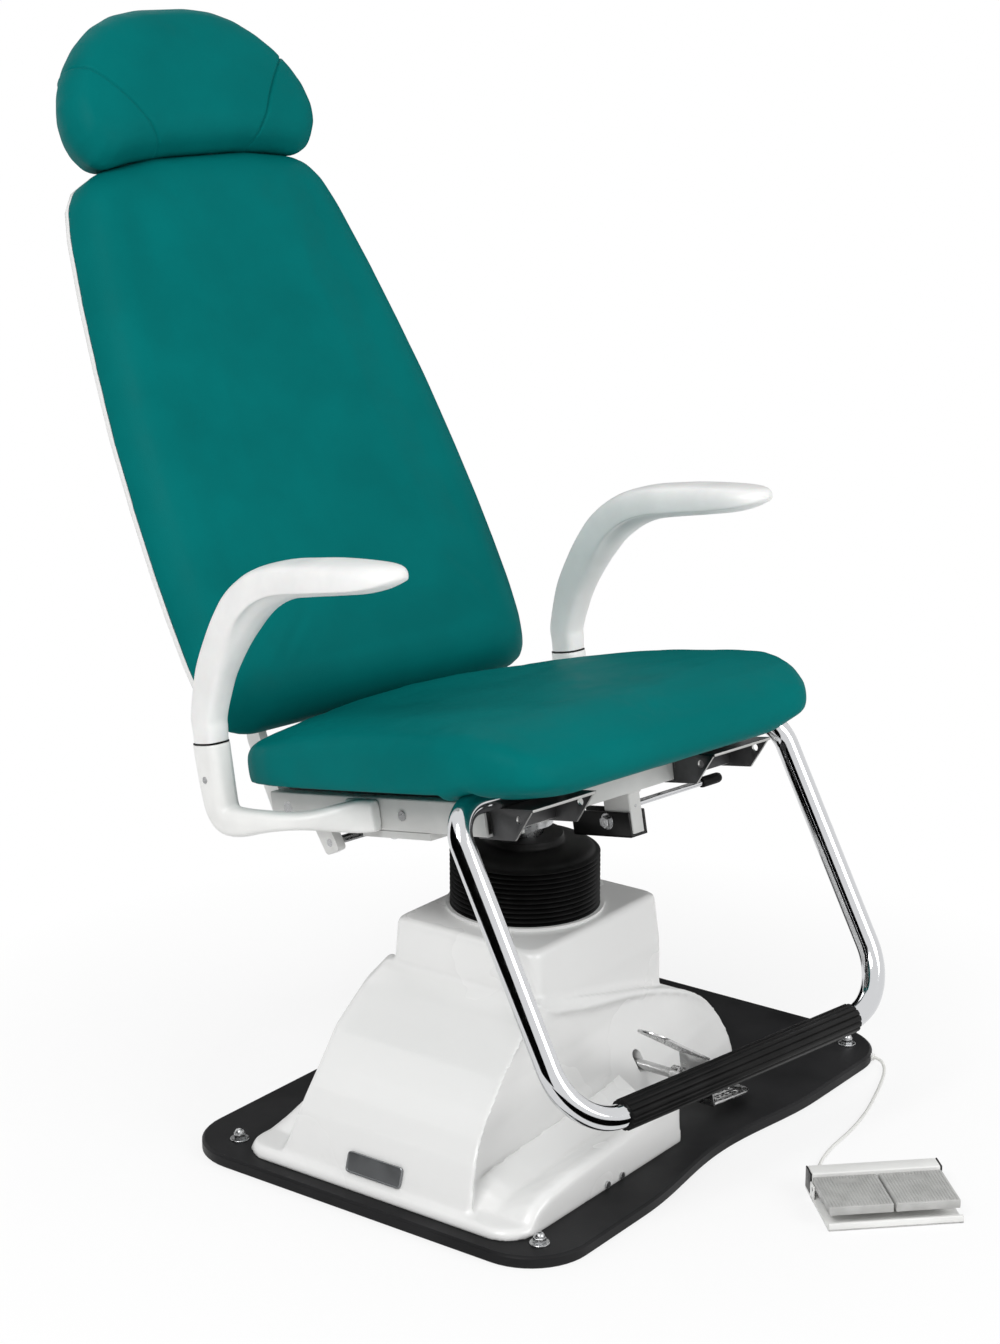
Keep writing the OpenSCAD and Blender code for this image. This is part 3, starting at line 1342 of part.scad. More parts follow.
// Rounding of the headrest: place from its front to its back and inset, as shares of its thickness
head_edge_shares = [[1, 0.225], [0.85, 0.125], [0.725, 0.056], [0.6, 0.013], [0.475, 0], [0.35, 0.013],
  [0.225, 0.075], [0.125, 0.15], [0.05, 0.275], [0, 0.45]];
module head_cushion() color("teal") at_back() loft([for (s = head_edge_shares)
  across(head_outline(s[1] * head_cushion_t), s[0] * head_cushion_t - head_front)]);

floor_plate();
bolt_washers();
bolt_nuts();
base_cover();
cover_screws();
name_plate();
column_tube();
column_screws();
column_bush();
oil_tank();
pump_motor();
bellows();
bellows_ring();
lifting_rod();
pedal_bearing();
pedal_shaft();
pedal_plate();
cord_grommet();
switch_cord();
switch_base();
switch_housing();
switch_caps();
switch_pin();
left_tread();
right_tread();
swivel_hub();
carrier_plate();
left_rail();
right_rail();
front_rail();
rear_rail();
left_bracket();
right_bracket();
frame_screws();
seat_board();
seat_cushion();
foot_bar();
foot_bar_sleeve();
lever_post();
lever_clamp();
lever_bolts();
release_lever();
lever_grip();
left_arm_casting();
right_arm_casting();
arm_pins();
left_armrest();
right_armrest();
pivot_pins();
left_back_arm();
right_back_arm();
crank_bar();
back_shell();
back_cushion();
gas_cylinder();
gas_rod();
head_guides();
head_rods();
head_plate();
head_cushion();
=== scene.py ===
from math import cos, pi, radians, sin, sqrt

import bpy
import numpy as np
from mathutils import Matrix, Vector


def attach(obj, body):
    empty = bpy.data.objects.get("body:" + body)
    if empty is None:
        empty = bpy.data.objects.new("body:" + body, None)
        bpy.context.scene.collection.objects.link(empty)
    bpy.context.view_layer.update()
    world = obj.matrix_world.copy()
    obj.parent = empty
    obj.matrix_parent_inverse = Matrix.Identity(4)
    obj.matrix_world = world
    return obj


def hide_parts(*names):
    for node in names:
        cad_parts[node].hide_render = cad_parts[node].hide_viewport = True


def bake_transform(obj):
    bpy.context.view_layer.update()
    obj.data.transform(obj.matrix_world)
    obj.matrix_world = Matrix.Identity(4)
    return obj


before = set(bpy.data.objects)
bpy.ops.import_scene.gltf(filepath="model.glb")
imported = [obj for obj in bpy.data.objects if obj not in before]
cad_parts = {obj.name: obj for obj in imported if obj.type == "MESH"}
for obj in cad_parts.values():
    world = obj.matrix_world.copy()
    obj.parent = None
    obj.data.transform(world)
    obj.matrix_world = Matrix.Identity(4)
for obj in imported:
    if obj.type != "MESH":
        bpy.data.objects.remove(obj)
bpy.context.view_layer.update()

# ---- Camera: set at the height of a standing person's chest, looking a little down at the near front corner
camera_place = (-2.5021, -1.8210, 1.4102)
camera_turn = -53.396
camera_dip = 15.762
bpy.ops.object.select_all(action="DESELECT")
bpy.ops.object.camera_add(location=camera_place, rotation=(radians(90 - camera_dip), 0, radians(camera_turn)))
camera = bpy.context.object
camera.data.sensor_fit = "VERTICAL"
camera.data.sensor_height = 36
camera.data.lens = 72.92
bpy.context.scene.camera = camera

# ---- Foot switch cord: a 4 mm white flexible lead that leaves the rim of the plate through a grommet,
# drops to the floor within a few centimetres and lies there in one loose bend up to the switch
MM = 0.001
cord_d = 4 * MM
cord_route = [
    (331, -304.4, 7), (331, -308.4, 7), (330, -316, 5.5), (324, -323, 3.2), (313, -330, 2.2), (298, -337, 2.2),
    (280, -344, 2.2), (260, -351, 2.2), (238, -358, 2.2), (216, -365, 2.2), (194, -371, 2.2), (172, -376, 2.2),
    (150, -380, 2.2), (128, -383, 2.2), (106, -385, 2.2), (86, -387, 2.2), (67, -390, 2.2), (50, -394, 2.2),
    (35, -399, 3), (22, -405, 5), (12, -412, 7.5), (4.4, -418.4, 9), (1.5, -421.2, 9)]


def sheet_colour(code):
    """A linear colour from the sRGB hex value that is seen."""
    parts = [int(code[i:i + 2], 16) / 255 for i in (0, 2, 4)]
    return (*[c / 12.92 if c <= 0.04045 else ((c + 0.055) / 1.055) ** 2.4 for c in parts], 1)


def add_node(tree, kind, links=(), **settings):
    """One shader node: settings are properties or input values, links are (input, output socket)."""
    node = tree.nodes.new(kind)
    for key, value in settings.items():
        name = key.replace("_", " ")
        if name in node.inputs:
            node.inputs[name].default_value = value
        else:
            setattr(node, key, value)
    for name, socket in links:
        tree.links.new(socket, node.inputs[name])
    return node


def finish_material(name, colour, shade=None, gloss=None, relief=None, **surface):
    """A material whose patterns lie on the object. shade: patch size in metres, dark and light code, width of the
    step between them. gloss: smear size in metres and two roughnesses. relief: noise per metre, its detail, depth
    in metres and strength."""
    made = bpy.data.materials.new(name)
    made.use_nodes = True
    tree = made.node_tree
    shader = tree.nodes["Principled BSDF"]
    shader.inputs["Base Color"].default_value = sheet_colour(colour)
    for key, value in surface.items():
        shader.inputs[key.replace("_", " ")].default_value = value
    place = [("Vector", add_node(tree, "ShaderNodeTexCoord").outputs["Object"])]
    if shade:
        size, dark, light, spread = shade
        cloud = add_node(tree, "ShaderNodeTexNoise", place, Scale=1 / size, Detail=3.0)
        ramp = add_node(tree, "ShaderNodeValToRGB", [("Fac", cloud.outputs["Fac"])])
        for end, step, code in zip(ramp.color_ramp.elements, (-spread, spread), (dark, light)):
            end.position, end.color = 0.5 + step, sheet_colour(code)
        tree.links.new(ramp.outputs["Color"], shader.inputs["Base Color"])
    if gloss:
        size, low, high = gloss
        smear = add_node(tree, "ShaderNodeTexNoise", place, Scale=1 / size, Detail=4.0)
        span = add_node(tree, "ShaderNodeMapRange", [("Value", smear.outputs["Fac"])], From_Min=0.35, From_Max=0.65,
                        To_Min=low, To_Max=high)
        tree.links.new(span.outputs["Result"], shader.inputs["Roughness"])
    if relief:
        scale, detail, depth, strength = relief
        grain = add_node(tree, "ShaderNodeTexNoise", place, Scale=scale, Detail=detail)
        bump = add_node(tree, "ShaderNodeBump", [("Height", grain.outputs["Fac"])], Strength=strength, Distance=depth)
        tree.links.new(bump.outputs["Normal"], shader.inputs["Normal"])
    return made


# Plasticised PVC, extruded: an even soft gloss with the faint drag of the die
cord_pvc = finish_material("extruded_pvc_white", "E6E6E2", None, (0.03, 0.32, 0.46), (900, 2, 0.00005, 0.5),
                           Roughness=0.38)


def smooth_points(points, steps):
    """Points along the smooth curve through the given ones."""
    last = len(points) - 1
    found = []
    for i in range(last):
        a, b, c, d = (np.array(points[k], float) for k in (max(i - 1, 0), i, i + 1, min(i + 2, last)))
        for k in range(steps):
            t = k / steps
            found.append(0.5 * (2 * b + (c - a) * t + (2 * a - 5 * b + 4 * c - d) * t * t
                                + (3 * b - a - 3 * c + d) * t ** 3))
    return found + [np.array(points[-1], float)]


def clear_selection():
    """Leaves edit mode and deselects everything."""
    if bpy.context.object and bpy.context.object.mode != "OBJECT":
        bpy.ops.object.mode_set(mode="OBJECT")
    bpy.ops.object.select_all(action="DESELECT")


def pick(piece):
    """Selects a piece alone and makes it the active one."""
    clear_selection()
    piece.select_set(True)
    bpy.context.view_layer.objects.active = piece


def finished(piece):
    """Applies the modifiers of a piece in their order."""
    pick(piece)
    for modifier in list(piece.modifiers):
        bpy.ops.object.modifier_apply(modifier=modifier.name)
    return piece


def settle(piece, body, material, slot, *nodes, place=None, angle=32):
    """Gives a finished piece its finish, its smooth faces, its place in the mesh and the body that it rides on."""
    finished(piece)
    if place is not None:
        piece.data.transform(place)
    piece.data.transform(piece.matrix_world)
    piece.matrix_world = Matrix.Identity(4)
    if angle:
        bpy.ops.object.shade_smooth_by_angle(angle=radians(angle))
    else:
        piece.data.shade_smooth()
    piece.data.materials.clear()
    piece.data.materials.append(material)
    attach(piece, body)
    if nodes:
        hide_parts(*nodes)
    return piece


def round_bar(name, points, radius, sides=12):
    """A bar of round section along points, as a mesh with closed ends."""
    curve = bpy.data.curves.new(name, "CURVE")
    curve.dimensions = "3D"
    curve.bevel_depth = radius
    curve.bevel_resolution = sides // 2 - 2
    curve.use_fill_caps = True
    line = curve.splines.new("POLY")
    line.points.add(len(points) - 1)
    for spot, p in zip(line.points, points):
        spot.co = (*p, 1)
    made = bpy.data.objects.new(name, curve)
    bpy.context.scene.collection.objects.link(made)
    return made


route = [Vector(p) * MM for p in smooth_points(cord_route, 4)]
cord_length = sum((b - a).length for a, b in zip(route, route[1:]))
foot_cord = round_bar("foot_switch_cord", route, cord_d / 2)
foot_cord.data.materials.append(cord_pvc)
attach(foot_cord, "base")
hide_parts("switch_cord")
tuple(route[0])

# ---- Studio: a pale floor that runs out of view, one large soft lamp over the near left, a weaker one at the
# front and one behind, in a plain white room
floor_reach = 60
clear_selection()
bpy.ops.mesh.primitive_plane_add(size=2 * floor_reach, location=(0, 0, -0.0004))
floor = bpy.context.object
floor.name = "studio_floor"
floor_paint = finish_material("pale_studio_floor", "F4F4F4", Roughness=0.9, Specular_IOR_Level=0.1)


def white_room_rays(tree):
    """1 for the rays that see the white room itself: from the camera, off a gloss and through a clear piece."""
    rays = add_node(tree, "ShaderNodeLightPath")
    shown = rays.outputs["Is Camera Ray"]
    for kind in ("Is Glossy Ray", "Is Transmission Ray"):
        shown = add_node(tree, "ShaderNodeMath", [(0, shown), (1, rays.outputs[kind])], operation="MAXIMUM").outputs[0]
    return shown


tree = floor_paint.node_tree
glow = add_node(tree, "ShaderNodeEmission", Color=(1, 1, 1, 1), Strength=1.0)
reach = add_node(tree, "ShaderNodeVectorMath", [(0, tree.nodes["Texture Coordinate"].outputs["Object"])],
                 operation="LENGTH")
fade = add_node(tree, "ShaderNodeMapRange", [("Value", reach.outputs["Value"])], From_Min=0.4, From_Max=0.9,
                To_Min=0.78, To_Max=1.0)
seen = add_node(tree, "ShaderNodeMath", [(0, white_room_rays(tree)), (1, fade.outputs["Result"])],
                operation="MULTIPLY")
blend = add_node(tree, "ShaderNodeMixShader", [("Fac", seen.outputs[0]),
                                               (1, tree.nodes["Principled BSDF"].outputs["BSDF"]),
                                               (2, glow.outputs["Emission"])])
tree.links.new(blend.outputs[0], tree.nodes["Material Output"].inputs["Surface"])
floor.data.materials.append(floor_paint)
for lamp_name, lamp_place, lamp_size, lamp_power in (
        ("key_lamp", (-2.8, -0.5, 3.0), 1.6, 76), ("fill_lamp", (0.4, -3.2, 1.7), 1.6, 41),
        ("rim_lamp", (1.6, 2.2, 2.6), 1.6, 10)):
    bpy.ops.object.light_add(type="AREA", location=lamp_place)
    lamp = bpy.context.object
    lamp.name = lamp_name
    lamp.data.size = lamp_size
    lamp.data.energy = lamp_power
    lamp.rotation_euler = (Vector((0, 0, 0.55)) - lamp.location).to_track_quat("-Z", "Y").to_euler()
# Two black cloths on stands and one on the floor, seen only in the gloss, give the chrome its dark bands and keep
# the glare of the white room off the seat
flag_cloth = finish_material("black_studio_cloth", "060606", Roughness=0.95, Specular_IOR_Level=0.0)
for flag_name, flag_place, flag_tilt, flag_turn, flag_size in (
        ("left_flag", (-1.3, 0.05, 0.55), 90, 60, (2.2, 1.1, 1)),
        ("rear_flag", (1.7, 1.35, 0.95), 90, -51, (2.6, 1.9, 1)),
        ("floor_flag", (-0.62, -0.86, 0.001), 0, 0, (1.3, 0.86, 1))):
    clear_selection()
    bpy.ops.mesh.primitive_plane_add(size=1, location=flag_place,
                                     rotation=(radians(flag_tilt), 0, radians(flag_turn)))
    flag = bpy.context.object
    flag.name = flag_name
    flag.scale = flag_size
    flag.data.materials.append(flag_cloth)
    flag.visible_camera = flag.visible_diffuse = flag.visible_shadow = False
world = bpy.data.worlds.new("studio_room")
bpy.context.scene.world = world
world.use_nodes = True
tree = world.node_tree
room = tree.nodes["Background"]
room.inputs["Color"].default_value = (1, 1, 1, 1)
room.inputs["Strength"].default_value = 0.47
wall = add_node(tree, "ShaderNodeBackground", Color=(1, 1, 1, 1), Strength=1.0)
choice = add_node(tree, "ShaderNodeMixShader", [("Fac", white_room_rays(tree)), (1, room.outputs[0]),
                                                (2, wall.outputs[0])])
tree.links.new(choice.outputs[0], tree.nodes["World Output"].inputs["Surface"])
bpy.context.scene.view_settings.view_transform = "Standard"

# ---- Floor plate: 14 mm steel plate, flame cut to its outline, its top edge chamfered, enamelled near black
# and bolted down near its four corners
plate_t = 14
plate_edge = 2.5


def arc_points(cx, cy, r, start, end, n=12):
    """Points on an arc from one angle to another, in degrees."""
    return [(cx + r * cos(radians(start + (end - start) * i / n)),
             cy + r * sin(radians(start + (end - start) * i / n)))
            for i in range(n + 1)]


def plate_points(inset=0):
    """The outline of the plate, with its waisted front edge."""
    w, r = 380 - inset, 75 - inset
    front, back = 306 - inset, 230 - inset
    waist = [(190 * (2 * i / 24 - 1), -front + 18 * (1 + cos(pi * (2 * i / 24 - 1))) / 2) for i in range(25)]
    return (arc_points(r - w, r - front, r, 180, 270) + waist + arc_points(w - r, r - front, r, 270, 360)
            + arc_points(w - r, back - r, r, 0, 90) + arc_points(r - w, back - r, r, 90, 180))


def level(points, z):
    """An outline laid flat at a height."""
    return [(p[0], p[1], z) for p in points]


def mesh_piece(name, points, faces):
    """A new mesh object from points in millimetres."""
    mesh = bpy.data.meshes.new(name)
    mesh.from_pydata([tuple(c * MM for c in p) for p in points], [], faces)
    made = bpy.data.objects.new(name, mesh)
    bpy.context.scene.collection.objects.link(made)
    return made


def loft(name, rings, caps=True):
    """A skin over rings of as many points each, in millimetres, with its faces pointing outwards."""
    n, m = len(rings[0]), len(rings)
    faces = [(k * n + i, k * n + (i + 1) % n, k * n + n + (i + 1) % n, k * n + n + i)
             for k in range(m - 1) for i in range(n)]
    if caps:
        faces += [tuple(range(n))[::-1], tuple((m - 1) * n + i for i in range(n))]
    made = mesh_piece(name, [p for ring in rings for p in ring], faces)
    tidy_faces(made)
    return made


def tidy_faces(piece):
    """Merges doubled points and turns the faces outwards."""
    pick(piece)
    bpy.ops.object.mode_set(mode="EDIT")
    bpy.ops.mesh.select_all(action="SELECT")
    bpy.ops.mesh.remove_doubles(threshold=0.00002)
    bpy.ops.mesh.normals_make_consistent(inside=False)
    bpy.ops.object.mode_set(mode="OBJECT")


# Two-part enamel on steel: near black, with a dull sheen that lifts at a low angle and a faint orange peel
plate_enamel = finish_material("black_plate_enamel", "1E1E1F", (0.12, "1B1B1C", "242425", 0.12), (0.08, 0.36, 0.5),
                               (420, 3, 0.0002, 0.35), Roughness=0.46, Specular_IOR_Level=0.09)
plate = loft("floor_plate", [level(plate_points(inset), z) for inset, z in (
    (plate_edge / 2, 0), (0, plate_edge / 2), (0, plate_t - plate_edge),
    (plate_edge * 0.7, plate_t - plate_edge * 0.3), (plate_edge * 1.2, plate_t))])
settle(plate, "base", plate_enamel, "plate_enamel", "floor_plate", angle=20)

# ---- Floor bolts: four M8 studs set in the floor, with washers and domed cap nuts. Their zinc is bright and
# passivated: a cool hard shine, broken by fine turning marks
zinc = finish_material("bright_zinc_plate", "B9BABB", None, (0.006, 0.2, 0.36), (1500, 2, 0.00004, 0.4),
                       Metallic=1.0, Roughness=0.26)
nut_flats = 13


def circle(r, n):
    """Points of a circle about the origin."""
    return [(r * cos(2 * pi * i / n), r * sin(2 * pi * i / n)) for i in range(n)]


def turned_piece(name, profile, segments=24, caps=True):
    """A turned piece: radius and height pairs in millimetres, spun about an upright axis."""
    return loft(name, [level(circle(r, segments), z) for r, z in profile], caps)


def cap_nut(name, flats):
    """A washer, a hexagon with chamfered corners and a dome, on one axis."""
    r = flats / sqrt(3)
    parts = [turned_piece(name, [(11, 0), (11.3, 0.4), (11.3, 1.6), (10.9, 2), (4.2, 2)])]
    parts.append(loft(name, [level(circle(q * r, 6), z) for q, z in ((0.94, 2), (1, 2.5), (1, 7.4), (0.9, 8))]))
    parts.append(turned_piece(name, [(0.1 + 5.9 * cos(radians(a)), 8 + 5.9 * sin(radians(a)))
                                     for a in range(0, 91, 10)]))
    return join(parts)


def join(parts):
    """Joins meshes into the first one."""
    clear_selection()
    for part in parts:
        part.select_set(True)
    bpy.context.view_layer.objects.active = parts[0]
    bpy.ops.object.join()
    return bpy.context.object


bolt_sets = []
for i, (x, y) in enumerate(((-334, -264), (334, -264), (-334, 170), (334, 170))):
    nut = cap_nut("floor_bolt_" + "abcd"[i], nut_flats)
    nut.data.transform(Matrix.Translation((x * MM, y * MM, plate_t * MM)) @ Matrix.Rotation(0.4 * i, 4, "Z"))
    bolt_sets.append(nut)
settle(join(bolt_sets), "base", zinc, "plated_steel", "bolt_washers", "bolt_nuts").name = "floor_bolts"

# ---- Base cover: one vacuum-formed shell of glossy white ABS over the pump and the column, with a square tower,
# a flared pump side between two ridges, an apron round the pedal shaft and a ramped ledge at the front
# ABS sheet, vacuum formed: glossy white that mirrors softly, with the slow ripple of a drawn sheet
white_abs = finish_material("glossy_white_abs", "E9E9E8", (0.2, "E8E8E7", "EAEAE9", 0.3), (0.3, 0.25, 0.29),
                            (55, 2, 0.0006, 0.25), Roughness=0.22, IOR=1.54)


def rounded(points, r, n=5):
    """An outline with each corner softened over a length r."""
    made, m = [], len(points)
    for i in range(m):
        a, p, b = (Vector(points[k % m]) for k in (i - 1, i, i + 1))
        s, e = p + (a - p).normalized() * r, p + (b - p).normalized() * r
        made += [tuple(s * (1 - t) ** 2 + p * 2 * t * (1 - t) + e * t * t) for t in [k / n for k in range(n + 1)]]
    return made


def remeshed(piece, voxel, rounds):
    """Turns joined forms into one even skin and eases its edges."""
    form = piece.modifiers.new("form", "REMESH")
    form.mode, form.voxel_size = "VOXEL", voxel
    ease = piece.modifiers.new("ease", "SMOOTH")
    ease.factor, ease.iterations = 0.5, rounds
    return finished(piece)


def punched(made, cutter):
    """Cuts the cutter out of a piece and removes it."""
    cut = made.modifiers.new("cut", "BOOLEAN")
    cut.object, cut.operation = cutter, "DIFFERENCE"
    finished(made)
    bpy.data.objects.remove(cutter)
    return made


# Up the pump side: height, the ridge at the near front, where the far ridge stands, the hollow wall behind the near
# ridge, the wall under the tower and the end of the shelf on the pedal side
flare_rows = [
    (13, (-358, -178), 94, (-322, -176), -178, (205, -176), 150),
    (19, (-353, -178), 93, (-320, -174), -177, (205, -176), 150),
    (28, (-346, -177), 91, (-318, -171), -175, (204, -176), 150),
    (45, (-341, -176), 86, (-312, -156), -166, (202, -172), 149),
    (78, (-330, -173), 79, (-297, -144), -144, (190, -160), 146),
    (100, (-312, -167), 79, (-277, -138), -134, (174, -148), 142),
    (119, (-287, -160), 84, (-253, -133), -129, (146, -140), 137),
    (144, (-247, -150), 96, (-215, -129), -127, (68, -131), 130),
    (161, (-206, -138), 104, (-178, -126), -126, (-5, -129), 124),
    (175, (-175, -128), 109, (-152, -124), -125, (-60, -126), 118),
    (186, (-141, -120), 111, (-134, -120), -120, (-116, -120), 112),
    (191, (-134, -116), 108, (-130, -117), -117, (-118, -116), 108)]
flare = loft("flare", [level(rounded([near, hollow, (0.5 * (hollow[0] + end[0]), wall), end, (end[0], b), (-110, b),
                                      (near[0] + 20, far + 10), (near[0], far)], 4, 4), z)
                       for z, near, far, hollow, wall, end, b in flare_rows])
wing = loft("wing", [level(rounded([(x, 30), (0, 30), (0, y), (x, y)], 24, 6), z) for z, x, y in (
    (13, -352, 150), (18, -344, 149), (24, -316, 148), (31, -286, 147), (42, -256, 145), (64, -226, 142),
    (104, -196, 136), (150, -168, 126), (184, -142, 112))])
tower = loft("tower", [level(rounded([(-w, -f), (w, -f), (w, b), (-w, b)], 19), z) for z, w, f, b in (
    (16, 137, 116, 104), (186, 133, 116, 104), (240, 131, 109.5, 100.5), (244, 129, 107.5, 98.5),
    (246.4, 124.5, 103, 94))])
ledge = loft("ledge", [[(x, y, z) for y, z in rounded([(-250, 13), (-160, 13), (-160, lip + 2), (-199, lip - drop),
                                                       (-236, lip), (-247, lip - 6)], 3)]
                       for x, lip, drop in ((-330, 24, 2), (-324, 33, 5), (-312, 43, 9), (-292, 51, 12),
                                            (-245, 57, 15), (-155, 63, 17), (-73, 70, 19), (-30, 76, 20))])
foot = loft("foot", [level(arc_points(40 - 360, 40 - 250, 40 - i, 180, 270)
                           + arc_points(-38 - i, -238 + i, 8, 270, 360, 6) + [(-30 - i, -176 + i)]
                           + arc_points(188, -158, 18 - i, 270, 360, 6) + arc_points(188, 132, 18 - i, 0, 90, 6)
                           + arc_points(-320, 110, 40 - i, 90, 180), z)
                     for z, i in ((13, 0), (19, 0.6), (23, 3), (26, 8))])
lip_path = smooth_points([(-138, -119, 189), (-118, -123, 178), (-84, -126, 170), (-40, -128, 161), (10, -129, 153),
                          (62, -130, 143), (108, -134, 131), (146, -140, 117), (174, -148, 99), (190, -158, 76),
                          (199, -168, 50)], 4)
lips = [loft("lip", [[(x, y + u, z - 1.6 + v) for u, v in circle(4.6, 12)] for x, y, z in lip_path]),
        loft("ridge", [[(x + 3.4 + u, y + 2.6 + v, z) for u, v in circle(3.4, 10)]
                       for x, y, z in smooth_points([(*row[1], row[0]) for row in flare_rows[:-1]], 3)])]
cover = join([flare, wing, tower, ledge, foot] + lips)
cover.name = "base_cover"
arch = loft("hole", [[(24 + x, y, 61 + z) for x, z in [(-7.5, 0), (7.5, 0)] + arc_points(0, 16, 7.5, 0, 180, 12)]
                     for y in (-260, -40)])
punched(settle(remeshed(cover, 0.0028, 6), "base", white_abs, "white_abs", "base_cover", angle=60), arch)

# ---- Name plate: a bare pressed metal badge with round corners and a raised frame, held on the pump side by its
# own glue. Satin steel: a flat grey that brightens towards the light
badge_metal = finish_material("satin_stamped_steel", "8B8D8F", None, (0.02, 0.3, 0.42), (700, 2, 0.00003, 0.3),
                              Metallic=1.0, Roughness=0.34)
badge_place = Matrix.Translation((-0.3446, -0.0425, 0.041)) @ Matrix.Rotation(radians(-73), 4, "Y")
badge = loft("badge", [level(rounded([(i - 12, i - 39), (12 - i, i - 39), (12 - i, 39 - i), (i - 12, 39 - i)],
                                     5 - 0.5 * i, 6), z)
                       for i, z in ((0, -1), (0, 1.6), (0.5, 2.1), (1.4, 2.1), (1.9, 1.5), (6, 1.5), (9, 1.5))])
settle(badge, "base", badge_metal, "badge_metal", "name_plate", place=badge_place, angle=40)

# ---- Bellows: moulded black rubber, twelve folds over a clamped foot, a domed top and a neck round the rod. The
# rubber is dull and near black, with a faint grey bloom
bellows_rubber = finish_material("moulded_black_rubber", "0C0C0C", (0.02, "080808", "121212", 0.2),
                                 relief=(260, 4, 0.0002, 0.4), Roughness=0.5, Specular_IOR_Level=0.2)
fold_profile = [(86, 246)]
for i in range(12):
    z = 246 + 6 * i
    fold_profile += [(84.4, z + 0.2), (86.8, z + 1.2), (90.2, z + 2), (91, z + 3), (90.2, z + 4), (86.8, z + 4.8)]
fold_profile += [(84.4, 318), (83, 320), (78, 323.2), (70, 326), (60, 327.6), (52, 328.2), (48.6, 329), (47.4, 330.6),
                 (47, 333), (47, 336.4), (45.8, 338), (26, 338), (22, 337.6), (22, 334)]
bellows = turned_piece("bellows", fold_profile, 96, caps=False)
wall_gap = bellows.modifiers.new("wall", "SOLIDIFY")
wall_gap.thickness, wall_gap.offset = 0.0018, -1
settle(bellows, "base", bellows_rubber, "bellows_rubber", "bellows", angle=50)
bellows.parent = None
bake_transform(bellows)

# ---- Rocker pedal: 3 mm steel sheet folded to a Z on a welded boss, slotted for grip and chrome plated, on a
# turned shaft that runs into the pump
# Bright chrome on polished tube mirrors the room; on the pedal it is dulled and finely scuffed by shoes
chrome = finish_material("bright_chrome_plate", "CFD0D2", None, (0.02, 0.04, 0.12), Metallic=1.0, Roughness=0.07)
worn_chrome = finish_material("worn_chrome_plate", "C2C2C2", None, (0.01, 0.12, 0.34), (700, 4, 0.00006, 0.4),
                              Metallic=1.0, Roughness=0.2)
pedal_t = 3


def sheet_with_slots(name, length, width, thick, slots, slot_l, slot_w):
    """A sheet with one round end, punched with rows of slots; it lies on XY from the origin along X."""
    r = width / 2
    outline = [(0, 0), (length - r, 0)] + arc_points(length - r, r, r, -90, 90, 14) + [(0, width)]
    cutters = []
    for x, y in slots:
        shape = (arc_points(x + slot_l - slot_w, y, slot_w / 2, -90, 90, 6)
                 + arc_points(x, y, slot_w / 2, 90, 270, 6))
        cutters.append(loft("slots", [level(shape, z) for z in (-2, thick + 2)]))
    made = punched(loft(name, [level(outline, z) for z in (0, thick)]), join(cutters))
    edge = made.modifiers.new("edge", "BEVEL")
    edge.width, edge.segments, edge.limit_method, edge.angle_limit = 0.0006, 2, "ANGLE", radians(50)
    return finished(made)


def soft_box(name, low, high, r=1.0, segments=3):
    """A box between two corners in millimetres, its edges rounded."""
    clear_selection()
    low, high = Vector(low), Vector(high)
    bpy.ops.mesh.primitive_cube_add(size=1, location=(low + high) / 2 * MM)
    made = bpy.context.object
    made.name = name
    made.data.name = name
    for v in made.data.vertices:
        v.co = Vector(v.co[i] * (high - low)[i] * MM for i in range(3))
    if r:
        edge = made.modifiers.new("edge", "BEVEL")
        edge.width, edge.segments = r * MM, segments
        finished(made)
    made.data.transform(made.matrix_world)
    made.matrix_world = Matrix.Identity(4)
    return made


def rod(name, start, end, radius, segments=24, edge=0.6):
    """A turned rod between two points in millimetres, its ends chamfered."""
    a, b = Vector(start), Vector(end)
    length = (b - a).length
    made = turned_piece(name, [(radius - edge, 0), (radius, edge), (radius, length - edge), (radius - edge, length)],
                        segments)
    turn = (b - a).to_track_quat("Z", "Y").to_matrix().to_4x4()
    made.data.transform(Matrix.Translation(a * MM) @ turn)
    return made


pedal_x, pedal_z, pedal_front, pedal_w = 24, 68, -257, 42
upper_fold = Matrix.Translation((pedal_x - 7.47, pedal_front, pedal_z + 33.68))
wings = []
for wing_l, count, place_at in ((124, 5, upper_fold @ Matrix.Scale(-1, 4, (1, 0, 0))
                                 @ Matrix.Rotation(radians(-32), 4, "Y")),
                                (92, 3, Matrix.Translation((pedal_x + 6.38, pedal_front, pedal_z - 28.8))
                                 @ Matrix.Rotation(radians(9), 4, "Y"))):
    slots = [(18 * i + 4, 21 + 10.5 * j) for i in range(1, count + 1) for j in (-1, 0, 1)]
    wing = sheet_with_slots("wing", wing_l, pedal_w, pedal_t, slots, 12, 4)
    wing.data.transform(Matrix.Scale(MM, 4) @ place_at @ Matrix.Scale(1000, 4))
    tidy_faces(wing)
    wings.append(wing)
panel = soft_box("panel", (-1.5, 0, -1.5), (65.5, pedal_w, 1.5), 0.6)
panel.data.transform(Matrix.Scale(MM, 4) @ upper_fold @ Matrix.Rotation(radians(77.5), 4, "Y")
                     @ Matrix.Scale(1000, 4))
boss = rod("boss", (pedal_x, pedal_front, pedal_z), (pedal_x, pedal_front + 56, pedal_z), 11, 32)
shaft = rod("shaft", (pedal_x, pedal_front - 1.5, pedal_z), (pedal_x, -86, pedal_z), 6, 28)
weld = turned_piece("weld", [(11, 0), (13, 1.2), (12.4, 2.6), (11, 3.4)], 28, caps=False)
weld.data.transform(Matrix.Translation((pedal_x * MM, (pedal_front + 42) * MM, pedal_z * MM))
                    @ Matrix.Rotation(-pi / 2, 4, "X"))
settle(join(wings + [panel, boss, weld, shaft]), "rocker_pedal", worn_chrome, "chrome",
       "pedal_plate", "pedal_shaft").name = "rocker_pedal"

